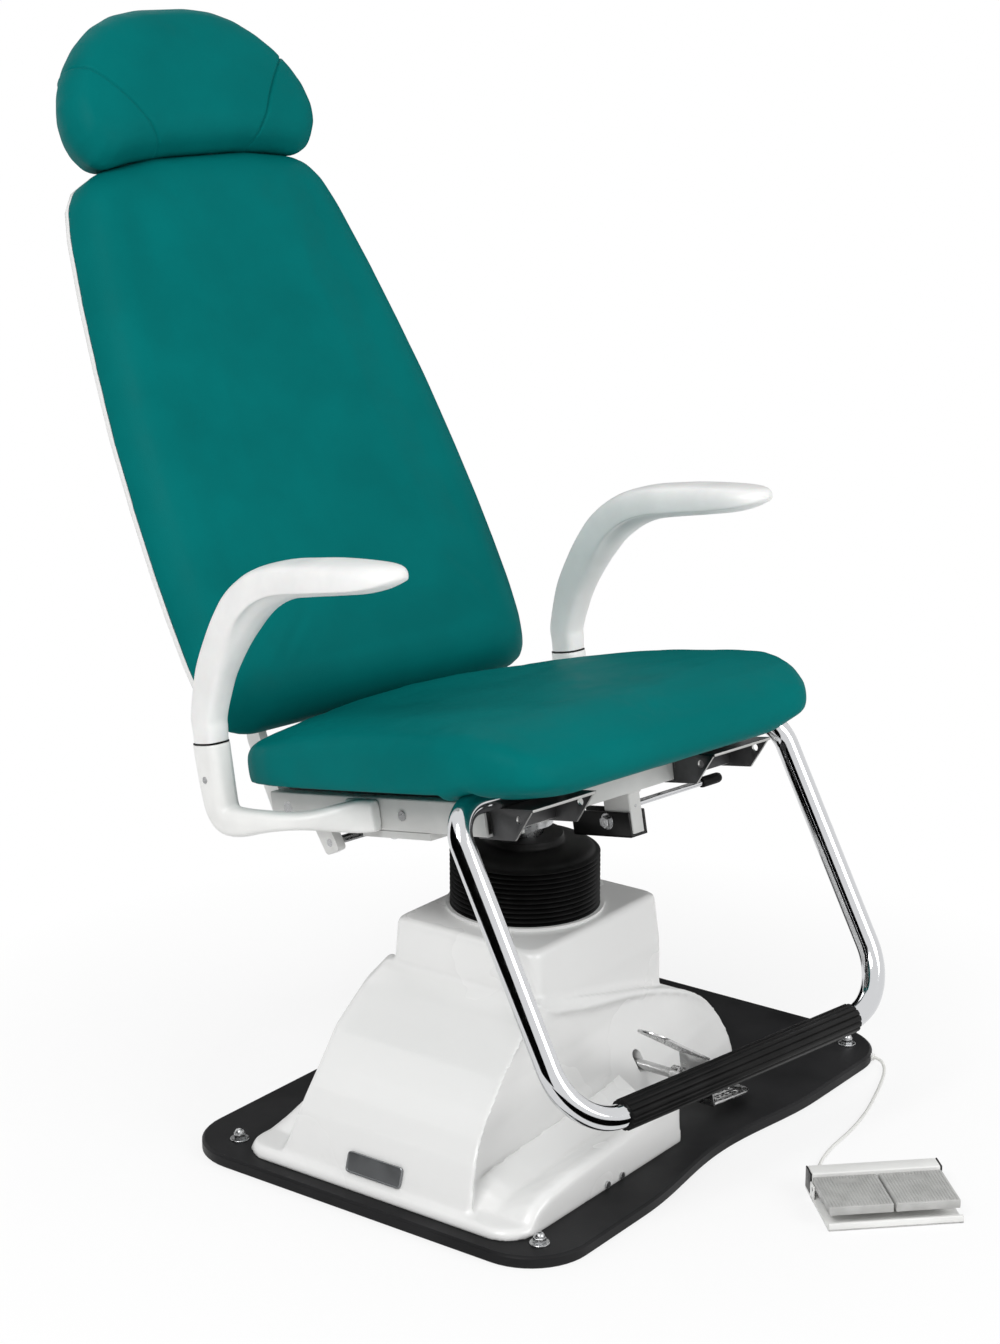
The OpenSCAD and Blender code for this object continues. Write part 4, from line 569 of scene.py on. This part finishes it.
# ---- Foot bar: 28 mm steel tube bent to a long frame, its ends turned in under the seat, polished and chrome
# plated, so that it mirrors the room in long bands
seat_place = (Matrix.Translation((0, 0, 0.3783)) @ Matrix.Rotation(radians(-9.8), 4, "Z")
              @ Matrix.Rotation(radians(-11.4), 4, "X"))
bar_place = seat_place @ Matrix.Translation((0, -0.172, 0.054)) @ Matrix.Rotation(radians(-20), 4, "X")
bar_r, bar_half, bar_l, low_bend, top_bend = 14, 268, 372, 75, 42
half = [(107, 0, 0)] + [(x, 0, z) for x, z in arc_points(bar_half - top_bend, -top_bend, top_bend, 90, 0, 14)]
half += [(x, 0, z) for x, z in arc_points(bar_half - low_bend, low_bend - bar_l, low_bend, 0, -90, 20)]
whole = half + [(-x, y, z) for x, y, z in reversed(half)]
foot_bar = round_bar("foot_bar", [Vector(p) * MM for p in whole], bar_r * MM, 24)
pick(foot_bar)
bpy.ops.object.convert(target="MESH")
foot_bar = bpy.context.object
tidy_faces(foot_bar)
settle(foot_bar, "seat_frame", chrome, "chrome", "foot_bar", place=bar_place, angle=40)

# ---- Foot bar sleeve: extruded black rubber, fluted along its length, pushed over the lower tube; matt, with
# the flutes as thin darker lines
grip_rubber = finish_material("extruded_black_rubber", "0D0D0D", (0.03, "0A0A0A", "151515", 0.2),
                              relief=(500, 3, 0.00012, 0.5), Roughness=0.46, Specular_IOR_Level=0.1)
sleeve_half, sleeve_r, flutes = 193, 18, 14
ring = []
for i in range(flutes * 8):
    a = 2 * pi * i / (flutes * 8)
    groove = max(0.0, cos(flutes * a)) ** 3 * 1.5
    ring.append((cos(a), sin(a), sleeve_r - groove))
rings = [[(x, c * (r - inset), -bar_l + s * (r - inset)) for c, s, r in ring] for x, inset in (
    (-sleeve_half, 3), (-sleeve_half, 0.8), (-sleeve_half + 0.8, 0), (sleeve_half - 0.8, 0), (sleeve_half, 0.8),
    (sleeve_half, 3))]
sleeve = loft("foot_bar_sleeve", rings)
settle(sleeve, "seat_frame", grip_rubber, "grip_rubber", "foot_bar_sleeve", place=bar_place, angle=50)

# ---- Seat frame: square steel tubes welded to a carrier plate, sprayed with a light grey enamel that has a
# soft shine and a fine orange peel
rail_enamel = finish_material("light_grey_enamel", "C9C9C7", (0.09, "C2C2C0", "D0D0CE", 0.12),
                              relief=(480, 3, 0.00015, 0.4), Roughness=0.36)


def box_tube(name, low, high, wall, along):
    """A square tube open at both ends along X or Y, with rounded corners inside and out."""
    (x0, y0, z0), (x1, y1, z1) = low, high
    u0, u1 = (x0, x1) if along == 1 else (y0, y1)
    outline = [rounded([(u0 + i, z0 + i), (u1 - i, z0 + i), (u1 - i, z1 - i), (u0 + i, z1 - i)],
                       max(2.5 - i / 2, 0.8), 3)
               for i in (wall, 0, 0, wall)]
    ends = (y0, y0, y1, y1) if along == 1 else (x0, x0, x1, x1)
    rings = [[(u, e, z) if along == 1 else (e, u, z) for u, z in ring_points]
             for ring_points, e in zip(outline, ends)]
    return loft(name, rings + rings[:1], caps=False)


rails = []
for side in (-1, 1):
    x0, x1 = sorted((side * 175, side * 205))
    rails.append(box_tube("side_rail", (x0, -156, 8), (x1, 225, 47), 3, 1))
front_tube = box_tube("front_rail", (-175, -156, 8), (175, -126, 37), 3, 0)
rear_tube = box_tube("rear_rail", (-175, 80, 8), (175, 110, 47), 3, 0)
settle(join(rails), "seat_frame", rail_enamel, "rail_paint", "left_rail", "right_rail", place=seat_place,
       angle=40).name = "side_rails"
settle(join([front_tube, rear_tube]), "seat_frame", rail_enamel, "rail_paint", "front_rail", "rear_rail",
       place=seat_place, angle=40).name = "cross_rails"

# ---- Front brackets: 3 mm steel sheet laser cut and folded into two pointed ears under a top flange, dark
# grey satin enamel worn to bare metal along the cut edges
bracket_enamel = finish_material("dark_grey_enamel", "444445", (0.03, "3E3E3F", "4A4A4B", 0.12),
                                 relief=(600, 3, 0.0001, 0.4), Roughness=0.42, Specular_IOR_Level=0.3)
bare_edge = finish_material("bare_cut_steel", "B4B4B2", None, (0.004, 0.3, 0.46), Metallic=1.0, Roughness=0.38)
for side, name in ((1, "left_bracket"), (-1, "right_bracket")):
    ears = []
    for x in (98, 193):
        shape = [(-132, 4), (-191, 4), (-226, 40), (-156, 40), (-156, 8), (-132, 8)]
        ear = loft("ear", [[(x + d, y, z) for y, z in shape] for d in (0, 3)])
        ears.append(punched(ear, rod("hole", (x - 3, -202, 28), (x + 6, -202, 28), 4.5, 24)))
    ears += [soft_box("flange", (98, -226, 37), (196, -156, 40), 0),
             soft_box("flange", (98, -157, 37), (175, -127, 40), 0),
             soft_box("web", (98, -159, 8), (196, -156, 37.2), 0)]
    bracket = join(ears)
    if side < 0:
        bracket.data.transform(Matrix.Scale(-1, 4, (1, 0, 0)))
    tidy_faces(bracket)
    edge = bracket.modifiers.new("edge", "BEVEL")
    edge.width, edge.segments, edge.limit_method = 0.0004, 2, "ANGLE"
    bracket = settle(bracket, "seat_frame", bracket_enamel, "dark_zinc", name, place=seat_place)
    bracket.name = name + "_sheet"
    bracket.data.materials.append(bare_edge)
    inverse = seat_place.inverted()
    for face in bracket.data.polygons:
        local = inverse @ face.center
        normal = (inverse.to_3x3() @ face.normal).normalized()
        if abs(normal.x) < 0.5 and local.y < -0.1585 and face.area < 0.0006 and not abs(local.z - 0.037) < 0.0002:
            face.material_index = 1

# ---- Release lever: a chrome rod with a rubber grip, pinned in a welded square post; the post also carries a
# folded clamp with a hexagon bolt for a leg rest, in black enamel with a low shine
black_enamel = finish_material("black_enamel", "151515", (0.03, "111111", "1B1B1B", 0.12),
                               relief=(600, 3, 0.0001, 0.4), Roughness=0.34, Specular_IOR_Level=0.3)
post = loft("lever_post", [level(rounded([(x0, y0), (x1, y0), (x1, y1), (x0, y1)], 3, 3), z)
                           for z, x0, x1, y0, y1 in ((-42, 30, 44, -145, -107), (-42, 27, 47, -148, -104),
                                                     (8, 27, 47, -148, -104), (8, 30, 44, -145, -107),
                                                     (-42, 30, 44, -145, -107))], caps=False)
weld = loft("weld", [level(rounded([(27 - i, -148 - i), (47 + i, -148 - i), (47 + i, -104 + i), (27 - i, -104 + i)],
                                   3 + i, 3), z) for z, i in ((4.4, 0), (5.4, 1.6), (7, 2.4), (8, 3))], caps=False)
post = punched(post, soft_box("slot", (37, -146, -18), (50, -130, -2), 0))
settle(join([post, weld]), "seat_frame", rail_enamel, "rail_paint", "lever_post", place=seat_place)
clamp = join([soft_box(name, (x0, -148, -46), (x1, -52, z1), 1.2) for name, x0, x1, z1 in (
    ("clamp", 23, 27, -16), ("clamp", 47, 51, -16), ("clamp_floor", 23, 51, -42))])
settle(clamp, "seat_frame", black_enamel, "dark_paint", "lever_clamp", place=seat_place).name = "lever_clamp_channel"
bolt_head = loft("bolt", [level(circle(q * 7.5, 6), z) for q, z in ((1, 0), (1, 5.6), (0.9, 6.4))])
bolt_head.data.transform(Matrix.Translation((0.0225, -0.112, -0.027)) @ Matrix.Rotation(-pi / 2, 4, "Y"))
bolt_washer = rod("washer", (23, -112, -27), (21.6, -112, -27), 10, 28, 0.3)
bolt_shank = rod("shank", (23, -112, -27), (51.5, -112, -27), 4, 20, 0.3)
pivot_pin = rod("pin", (37, -148.4, -10), (37, -104, -10), 2, 16, 0.3)
settle(join([bolt_head, bolt_washer, bolt_shank, pivot_pin]), "seat_frame", zinc, "plated_steel", "lever_bolts",
       place=seat_place).name = "lever_bolts_turned"
lever_rod = rod("release_lever", (41, -138, -10), (184, -138, -10), 4, 28, 0.5)
eye = turned_piece("eye", [(2.1, -7), (5.8, -7), (6.4, -6.4), (6.4, 6.4), (5.8, 7), (2.1, 7), (2.1, -7)], 28,
                   caps=False)
eye.data.transform(Matrix.Translation((0.037, -0.138, -0.01)) @ Matrix.Rotation(pi / 2, 4, "X"))
settle(join([lever_rod, eye]), "lever", chrome, "chrome", "release_lever", place=seat_place).name = "release_lever_rod"
grip = turned_piece("lever_grip", [(4.1, 0), (5.4, 0), (6.1, 0.8), (6.5, 3), (6.5, 26), (6.3, 30), (5.4, 32.6),
                                   (3.4, 33.7), (0.4, 34)], 28, caps=False)
grip.data.transform(Matrix.Translation((0.1598, -0.138, -0.01)) @ Matrix.Rotation(pi / 2, 4, "Y"))
settle(grip, "lever", grip_rubber, "grip_rubber", "lever_grip", place=seat_place, angle=60)

# ---- Arm castings: cast aluminium elbows bolted to the side rails, each with a socket for the armrest's pin,
# in white powder coat, which is even and half glossy over a shallow orange peel
powder = finish_material("white_powder_coat", "ECECEA", (0.08, "E7E7E5", "EFEFED", 0.12),
                         relief=(330, 4, 0.0003, 0.45), Roughness=0.36)
arm_x, arm_y = 296, 203


def squircle(half_u, half_v, power, n):
    """Points of a rounded rectangle, from round at power 2 to square."""
    found = []
    for i in range(n):
        c, s = cos(2 * pi * (i + 0.5) / n), sin(2 * pi * (i + 0.5) / n)
        found.append((half_u * abs(c) ** (2 / power) * (1 if c > 0 else -1),
                      half_v * abs(s) ** (2 / power) * (1 if s > 0 else -1)))
    return found


def swept(name, stations, n):
    """A solid along a smooth path: each station is a centre, the section's two half widths and its squareness."""
    rows = smooth_points([(*centre, a, b, power) for centre, a, b, power in stations], 4)
    rings = []
    for i, row in enumerate(rows):
        ahead = Vector(rows[min(i + 1, len(rows) - 1)][:3]) - Vector(rows[max(i - 1, 0)][:3])
        ahead.normalize()
        side = Vector((1, 0, 0)) - ahead * ahead.x
        side.normalize()
        up = ahead.cross(side)
        rings.append([Vector(row[:3]) + side * u + up * v for u, v in squircle(row[3], row[4], row[5], n)])
    return loft(name, rings)


def both(make, place_name):
    """The left piece and its mirror image."""
    for side, word in ((1, "left"), (-1, "right")):
        made = make()
        if side < 0:
            made.data.transform(Matrix.Scale(-1, 4, (1, 0, 0)))
            tidy_faces(made)
        made.name = word + "_" + place_name
        yield word, made


def arm_casting():
    """The left elbow, from the socket down and forward along the rail."""
    stations = [((296, 203, 127.4), 17.4, 21.8, 3.2), ((296, 203, 124), 17.6, 22, 3.2),
                ((296, 203, 96), 17.3, 21.7, 3.1), ((296, 202.4, 68), 17, 21.2, 3), ((296, 200, 48), 16.8, 20.4, 2.8),
                ((295.6, 190, 35), 16.8, 18.2, 2.7), ((292, 168, 31.4), 16.2, 16.8, 2.7),
                ((285, 140, 31.8), 15, 13.4, 2.7), ((273, 108, 31), 13.8, 10.4, 2.7),
                ((256, 84, 29.4), 13.4, 11.4, 2.9), ((237, 66, 28), 12.8, 15.6, 3.3), ((222, 50, 27.5), 11, 19, 4),
                ((215, 34, 27.5), 8.6, 19.4, 4.4), ((213, 21, 27.5), 7.4, 18.4, 4)]
    body = swept("casting", stations, 36)
    saddle = soft_box("saddle", (206, 22, 8.6), (217, 74, 46.4), 4, 4)
    made = remeshed(join([body, saddle]), 0.002, 6)
    # the casting's top stops under the black ring of painted shade at the joint
    rail_face, shade_ring_under = 0.2053, 0.1265
    for v in made.data.vertices:
        v.co.x = max(v.co.x, rail_face)
        v.co.z = min(v.co.z, shade_ring_under)
    return made


for word, casting in both(arm_casting, "casting"):
    settle(casting, "seat_frame", powder, "white_paint", word + "_arm_casting", place=seat_place, angle=60)

# ---- Armrests: integral-skin polyurethane moulded round a steel core, white and slightly soft, with a broad
# pad whose lip runs down both sides of the stem over a hollow
# Integral skin: white and evenly dull, with a fine pebble and a little light in its depth
arm_foam = finish_material("white_integral_foam", "EDEDEC", (0.06, "E9E9E8", "F0F0EF", 0.12), (0.05, 0.34, 0.5),
                           (900, 3, 0.00012, 0.4), Roughness=0.42, Subsurface_Weight=0.05, Subsurface_Scale=0.004)
arm_foot = 128.3
# Along the arm: reach, rise, half depth, half width, slope of the path, and how far the underside is hollowed
arm_rows = [
    (0, 0, 20.5, 17, 90, 0), (0, 3, 20.7, 17.1, 90, 0), (1.5, 16, 21.2, 17.5, 87, 0), (3, 31, 22, 18, 84, 0),
    (19, 64.6, 24, 19, 77, 0), (34, 89.3, 25, 20.2, 71, 0), (62, 121, 25.6, 22.7, 61, 0.12),
    (85, 141.6, 25.8, 26.3, 48, 0.4), (112, 161.7, 25.6, 29.9, 34, 0.75), (152, 180, 24.2, 33.5, 22, 1),
    (193, 188.1, 22.4, 35.6, 10, 1), (232, 189, 21.2, 36, 4, 1), (272, 188.7, 20.4, 36, 1, 1),
    (325, 187, 17.6, 34.6, 0, 0.8), (352, 186.8, 14.4, 31.4, 0, 0.5), (367, 187, 10.8, 25, 0, 0.3),
    (375, 187.4, 7, 16.6, 0, 0), (378, 187.6, 3.4, 8, 0, 0)]


def arm_section(half_t, half_w, hollow):
    """Half of the section from the crown down to the underside: across the arm and down from its top."""
    plain = [(0, 0), (0.4, 0.012), (0.7, 0.075), (0.89, 0.19), (0.98, 0.36), (1, 0.52), (0.985, 0.66), (0.95, 0.765),
             (0.9, 0.84), (0.8, 0.91), (0.62, 0.96), (0.42, 0.985), (0.2, 0.998), (0, 1)]
    lipped = [(0, 0), (0.42, 0.012), (0.74, 0.07), (0.92, 0.2), (0.99, 0.4), (1, 0.58), (0.99, 0.74), (0.975, 0.79),
              (0.93, 0.806), (0.82, 0.79), (0.7, 0.8), (0.56, 0.88), (0.36, 0.97), (0, 1)]
    return [((u + (a - u) * hollow) * half_w, (d + (b - d) * hollow) * 2 * half_t)
            for (u, d), (a, b) in zip(plain, lipped)]


def armrest():
    """The left arm, its foot on the black ring that paints the shade of the joint."""
    rings = []
    for along, rise, half_t, half_w, slope, hollow in smooth_points(arm_rows, 3):
        half_ring = arm_section(half_t, half_w, hollow)
        lean = radians(slope)
        rings.append([Vector((arm_x + u, arm_y - along + (half_t - d) * sin(lean),
                              arm_foot + rise + (half_t - d) * cos(lean)))
                      for u, d in half_ring + [(-u, d) for u, d in half_ring[-2:0:-1]]])
    made = loft("armrest", rings)
    form = made.modifiers.new("form", "SUBSURF")
    form.levels = form.render_levels = 1
    return made


for word, arm in both(armrest, "armrest_pad"):
    settle(arm, "arm_" + word, arm_foam, "arm_pu", word + "_armrest", place=seat_place, angle=60)

# ---- Arm joint rings: thin black rubber rings laid between each casting and its armrest; they are painted shade
# that stands for the shadow in the gap of the joint, and show as one dark line round it


def arm_joint_shade_ring():
    """The left ring."""
    return loft("ring", [[(arm_x + u, arm_y + v, z) for u, v in squircle(17.5 - i, 21.8 - i, 3, 36)]
                         for z, i in ((126.5, 0.3), (126.8, 0), (127.9, 0), (128.2, 0.3))])


# each black ring is painted shade for the shadow in the gap between casting and armrest
for word, ring in both(arm_joint_shade_ring, "arm_joint_shade_ring"):
    settle(ring, "seat_frame", bellows_rubber, "bellows_rubber", place=seat_place)

# ---- Seat cushion: moulded foam on a board under stretched vinyl, with a waterfall front and a dished back
# Upholstery vinyl, embossed: deep teal and matt, with a leather grain of 1.3 mm cells over finer pores
vinyl = finish_material("teal_upholstery_vinyl", "036867", (0.1, "036665", "036C6B", 0.16), (0.05, 0.42, 0.54),
                        Roughness=0.54, Specular_IOR_Level=0.02)
tree = vinyl.node_tree
place = [("Vector", tree.nodes["Texture Coordinate"].outputs["Object"])]
grain = add_node(tree, "ShaderNodeTexVoronoi", place, Scale=760.0, feature="SMOOTH_F1")
pores = add_node(tree, "ShaderNodeTexNoise", place, Scale=1900.0, Detail=3.0)
leather = add_node(tree, "ShaderNodeMath", [(0, grain.outputs["Distance"]), (1, pores.outputs["Fac"])],
                   operation="ADD")
bump = add_node(tree, "ShaderNodeBump", [("Height", leather.outputs[0])], Strength=0.5, Distance=0.00022)
tree.links.new(bump.outputs["Normal"], tree.nodes["Principled BSDF"].inputs["Normal"])
back_place = seat_place @ Matrix.Translation((0, 0.195, 0.028)) @ Matrix.Rotation(radians(-19), 4, "X")


def smoother(piece):
    """Divides the mesh of a piece once and rounds it."""
    finer = piece.modifiers.new("finer", "SUBSURF")
    finer.levels = finer.render_levels = 1
    return finished(piece)


def stuffed(piece, voxel, held, share=0.3):
    """Remeshes a cushion and fills it as cloth while the held points stay; the foam gives way by a share of that."""
    remeshed(piece, voxel, 4)
    frames, most_swell = 20, 0.024
    group = piece.vertex_groups.new(name="held")
    group.add([v.index for v in piece.data.vertices if held(v.co)], 1, "REPLACE")
    fill = piece.modifiers.new("fill", "CLOTH")
    fill.settings.use_pressure = True
    fill.settings.uniform_pressure_force = 4
    fill.settings.effector_weights.gravity = 0
    fill.settings.vertex_group_mass = "held"
    fill.settings.quality = 4
    fill.point_cache.frame_start, fill.point_cache.frame_end = 1, frames
    start = np.array([v.co for v in piece.data.vertices])
    out = np.array([v.normal for v in piece.data.vertices])
    for count in range(1, frames + 1):
        bpy.context.scene.frame_set(count)
    swollen = piece.evaluated_get(bpy.context.evaluated_depsgraph_get())
    end = np.array([v.co for v in swollen.data.vertices])
    swell = np.clip(((end - start) * out).sum(axis=1, keepdims=True), 0, most_swell)
    piece.modifiers.remove(fill)
    piece.vertex_groups.clear()
    piece.data.vertices.foreach_set("co", (start + out * swell * share).ravel())
    bpy.context.scene.frame_set(1)
    return smoother(piece)


# Along the seat: y, half width, underside, top at the sides, and how far the middle rises above them
seat_rows = [
    (-272.6, 200, 68, 83, 0), (-267, 222, 58, 97.6, 0), (-254.6, 237.6, 52, 108, 0), (-234, 250.4, 49.4, 121, 0),
    (-209.6, 259.4, 48.6, 129.6, 0), (-192.4, 262.6, 48.6, 133.4, -1), (-187, 263.6, 69, 134.2, -1),
    (-150, 266, 69, 136.8, -2.4), (-96, 267, 69, 138, -3), (-41, 267.4, 69, 137.8, -2), (10, 267.4, 69, 135.6, 1),
    (61, 267, 69, 131.4, 4), (110, 265.6, 69, 126, 9), (150, 262.4, 69, 120, 16), (184, 256, 69, 116, 22),
    (204, 248, 69, 111, 16.5), (217, 238, 69.6, 106, 10.5), (228, 225, 71, 101, 7), (238, 207, 74, 95, 4),
    (244, 184, 78, 89, 2)]
front_roll, board_z, roll_end, in_board = 0.72, 69, -187, 12


def seat_shell():
    """The seat before it is filled; behind the front roll it reaches a little into the board."""
    rings = []
    for y, half_w, low, high, crown in seat_rows:
        side = max(low, min(board_z, high - 12))
        over = [(half_w * q, high + crown * (1 - q * q)) for q in (0.85, 0.6, 0.3, 0, -0.3, -0.6, -0.85)]
        soft = min(28, (high - side) * 0.47)
        if y > roll_end:
            low = side = low - in_board
        corners = rounded([(-half_w, side), (-half_w * front_roll, low), (half_w * front_roll, low), (half_w, side),
                           (half_w, high), (-half_w, high)], soft, 7)
        # the two top corners end where the crown begins
        top_right = [(x, z + crown * (1 - (x / half_w) ** 2)) for x, z in corners[32:40]]
        top_left = [(x, z + crown * (1 - (x / half_w) ** 2)) for x, z in corners[40:48]]
        rings.append([(x, y, z) for x, z in corners[:32] + top_right + over + top_left])
    return loft("seat_cushion", rings)


seat = stuffed(seat_shell(), 0.0055, lambda p: p.z < 0.0715 and p.y > -0.14, 0.2)
board_front, board_top = -0.15, 0.0684
for v in seat.data.vertices:
    if v.co.y > board_front:
        v.co.z = max(v.co.z, board_top)
settle(seat, "seat_frame", vinyl, "teal_vinyl", "seat_cushion", place=seat_place, angle=0)

# ---- Back cushion: the same foam and vinyl on the front of the back shell, slightly crowned, with soft edges
# that roll over the rim of the shell
back_half = [(0.8, 0), (0.91, 0.012), (0.955, 0.03), (0.985, 0.07), (1, 0.13), (1.003, 0.21), (1, 0.29), (0.985, 0.4),
             (0.957, 0.53), (0.915, 0.645), (0.865, 0.762), (0.8, 0.882), (0.755, 0.934), (0.69, 0.965),
             (0.6, 0.981), (0.3, 0.996)]


def back_points(inset, low=100, high=842):
    """The outline of the back, drawn in by an inset."""
    right = [(q * (263.5 - inset), low + inset + t * (high - low - 2 * inset)) for q, t in back_half]
    return right + [(-x, z) for x, z in reversed(right)]


def shrunk(points, share, middle=480):
    """An outline shrunk to a share about a height on the centre line."""
    return [(x * share, middle + (z - middle) * share) for x, z in points]


def upright(points, y):
    """An outline stood up at a depth."""
    return [(x, y, z) for x, z in points]


def flattened(piece, front, rear):
    """Presses a cushion flat against what carries it and evens its crown, by two depths in metres."""
    for v in piece.data.vertices:
        v.co.y = max(min(v.co.y, rear), front)


back_rings = [upright(shrunk(back_points(1), 0.5), 26), upright(back_points(1), 26), upright(back_points(-1.4), 22),
              upright(back_points(-1.4), 11)]
back_rings += [upright(back_points(inset, high=high), y) for inset, y, high in (
    (0.4, 4, 842), (6.6, -5.6, 852), (14, -15.4, 858), (24, -24.6, 862), (35, -31, 865), (53, -37, 868))]
back_rings += [upright(shrunk(back_points(53), q), -37 - 2 * (1 - q * q)) for q in (0.8, 0.5, 0.2)]
back = stuffed(loft("back_cushion", back_rings), 0.0065, lambda p: p.y > 0.008)
flattened(back, -0.0455, 0.0128)
settle(back, "backrest", vinyl, "teal_vinyl", "back_cushion", place=back_place, angle=0)

# ---- Headrest cushion: a deep half-moon pillow in three panels, its two side panels sewn on along bowed seams
# that run from its underside to its round flanks
head_half = [(0.3, -0.98), (0.6, -1.1), (0.8, -1.3), (0.9, -1.12), (0.975, -0.6), (1, 0), (0.985, 0.2), (0.93, 0.38),
             (0.84, 0.56), (0.72, 0.72), (0.57, 0.86), (0.4, 0.95), (0.2, 0.99)]


def head_points(inset, low):
    """The half-moon outline: a flat underside with two drooping corners, and a round top."""
    right = [(q * (189 - inset), 882 + t * (low - inset / 2 if t < 0 else 152 - inset)) for q, t in head_half]
    return right + [(-x, z) for x, z in reversed(right)]


head_rings = [upright(shrunk(head_points(17, 38), 0.5, 910), 22)]
head_rings += [upright(head_points(inset, low), y) for inset, low, y in (
    (17, 43.2, 20), (15.4, 43.4, 11), (8, 41, 1), (3, 40.4, -9.6), (-0.4, 42.4, -19.4), (-1.4, 42.4, -30),
    (-0.4, 39.8, -40), (3.6, 37.6, -50.4), (9.4, 34.4, -58.6), (18, 29.4, -65), (31, 25.6, -68.8))]
head_rings += [upright(shrunk(head_points(31, 38), q, 910), -68.8 - 1.4 * (1 - q * q)) for q in (0.8, 0.5, 0.2)]
head = stuffed(loft("head_cushion", head_rings), 0.005, lambda p: p.y > 0.007, 0.25)
seam = smooth_points([(72, 838), (79, 846), (94, 870), (112, 899), (136, 929), (161, 953), (182, 966)], 8)


def carve(piece, lines, depth, width):
    """Presses narrow valleys into the front of a piece along lines on XZ, in millimetres."""
    co = np.array([v.co for v in piece.data.vertices]) * 1000
    for line in lines:
        line = np.array(line)[:, :2]
        near = np.full(len(co), 1e9)
        for a, b in zip(line, line[1:]):
            along = b - a
            t = np.clip(((co[:, (0, 2)] - a) @ along) / (along @ along), 0, 1)
            near = np.minimum(near, np.linalg.norm(co[:, (0, 2)] - (a + t[:, None] * along), axis=1))
        front = np.clip((2 - co[:, 1]) / 10, 0, 1)
        co[:, 1] += depth * np.exp(-(near / width) ** 2) * front
    piece.data.vertices.foreach_set("co", (co / 1000).ravel())


carve(smoother(head), [seam, [(-p[0], p[1]) for p in seam]], 3.4, 1.6)
flattened(head, -0.0735, 0.0118)
settle(head, "headrest", vinyl, "teal_vinyl", "head_cushion", place=back_place, angle=0)

# ---- Back shell: one vacuum-formed white tray that closes the back of the rest and shows as a thin white rim
# round the cushion, in the same glossy sheet as the base cover
shell_rows = [(3, 13.3), (-0.8, 13.4), (-1, 14.2), (-1, 20), (0.2, 23), (3.4, 26.6), (12.6, 35.2), (15.4, 36.8),
              (19, 37.3), (40, 37.3), (60, 37.3)]
shell = loft("back_shell", [upright(back_points(inset, 106), y) for inset, y in shell_rows])
settle(shell, "backrest", white_abs, "white_abs", "back_shell", place=back_place, angle=50)

# ---- Foot switch: a folded white steel tray with a rear housing between black end caps and two pivoting
# grey pedals ribbed from front to back; the plastics are matt with a fine spark texture
switch_place = Matrix.Translation((-0.008, -0.506, 0)) @ Matrix.Rotation(radians(-45.7), 4, "Z")
tread_grey = finish_material("grey_moulded_abs", "B6B6B4", (0.02, "B0B0AE", "BCBCBA", 0.12),
                             relief=(1100, 2, 0.00006, 0.4), Roughness=0.4)
black_moulded = finish_material("black_moulded_abs", "161616", None, (0.01, 0.32, 0.5), (900, 2, 0.00006, 0.4),
                                Roughness=0.4)
tray = join([soft_box("tray", (-77, -54, 0), (77, 54, 3), 0.8), soft_box("lip", (-77, -54, 0), (77, -50, 9), 0.8),
             soft_box("ear", (75, 17, 0), (77, 32, 19), 0.6), soft_box("ear", (-77, 17, 0), (-75, 32, 19), 0.6)])
settle(tray, "base", powder, "white_paint", "switch_base", place=switch_place).name = "switch_tray"
housing = soft_box("switch_housing_shell", (-75, 32, 3), (75, 54, 28), 1.6, 4)
nozzle = turned_piece("nozzle", [(4.4, -1), (4.4, 1), (4, 2), (3.4, 3.4), (3.6, 4.2), (3.2, 5.2), (3.4, 6.2), (3, 7.4),
                                 (3.2, 8.4), (2.8, 10), (2.7, 12), (2.1, 12)], 24)
nozzle.data.transform(Matrix.Translation((-0.055, 0.054, 0.009)) @ Matrix.Rotation(-pi / 2, 4, "X"))
settle(join([housing, nozzle]), "base", powder, "white_paint", "switch_housing", place=switch_place)
caps = join([soft_box("switch_end_caps", (75, 32, 3), (77, 54, 28), 0.7),
             soft_box("cap", (-77, 32, 3), (-75, 54, 28), 0.7)])
settle(caps, "base", black_moulded, "black_plastic", "switch_caps", place=switch_place)
tread_w, tread_y = 73.2, -47
for word, x0 in (("left", 1.5), ("right", -1.5 - tread_w)):
    parts = [soft_box("tread", (x0, tread_y, 15.2), (x0 + tread_w, tread_y + 76, 25.2), 0.8)]
    for i in range(20):
        # the middle ribs leave a bare field
        for a, b in (((1.6, 58), (67, 74.4)) if 6 <= i <= 13 else ((1.6, 74.4),)):
            parts.append(soft_box("rib", (x0 + 3.6 * i + 1, tread_y + a, 24.6),
                                  (x0 + 3.6 * i + 2.8, tread_y + b, 26), 0.3, 1))
    settle(join(parts), "tread_" + word, tread_grey, "tread_plastic", word + "_tread",
           place=switch_place).name = word + "_switch_pedal"

# ---- Pieces that stay as they are made in the frame: turned, welded and bought parts whose solids already have
# their full form, each in the finish of the real one
node_finish = {
    "cover_screws": zinc, "column_tube": rail_enamel, "column_screws": zinc, "column_bush": zinc,
    "oil_tank": rail_enamel, "pump_motor": black_enamel, "bellows_ring": white_abs, "lifting_rod": zinc,
    "pedal_bearing": rail_enamel, "cord_grommet": white_abs, "switch_pin": zinc, "swivel_hub": rail_enamel,
    "carrier_plate": rail_enamel, "frame_screws": zinc, "seat_board": black_enamel, "arm_pins": zinc,
    "pivot_pins": zinc, "left_back_arm": powder, "right_back_arm": powder, "crank_bar": zinc,
    "gas_cylinder": black_enamel, "gas_rod": chrome, "head_guides": black_moulded, "head_rods": chrome,
    "head_plate": black_enamel}
for name, finish in node_finish.items():
    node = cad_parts[name]
    node.data.materials.clear()
    node.data.materials.append(finish)
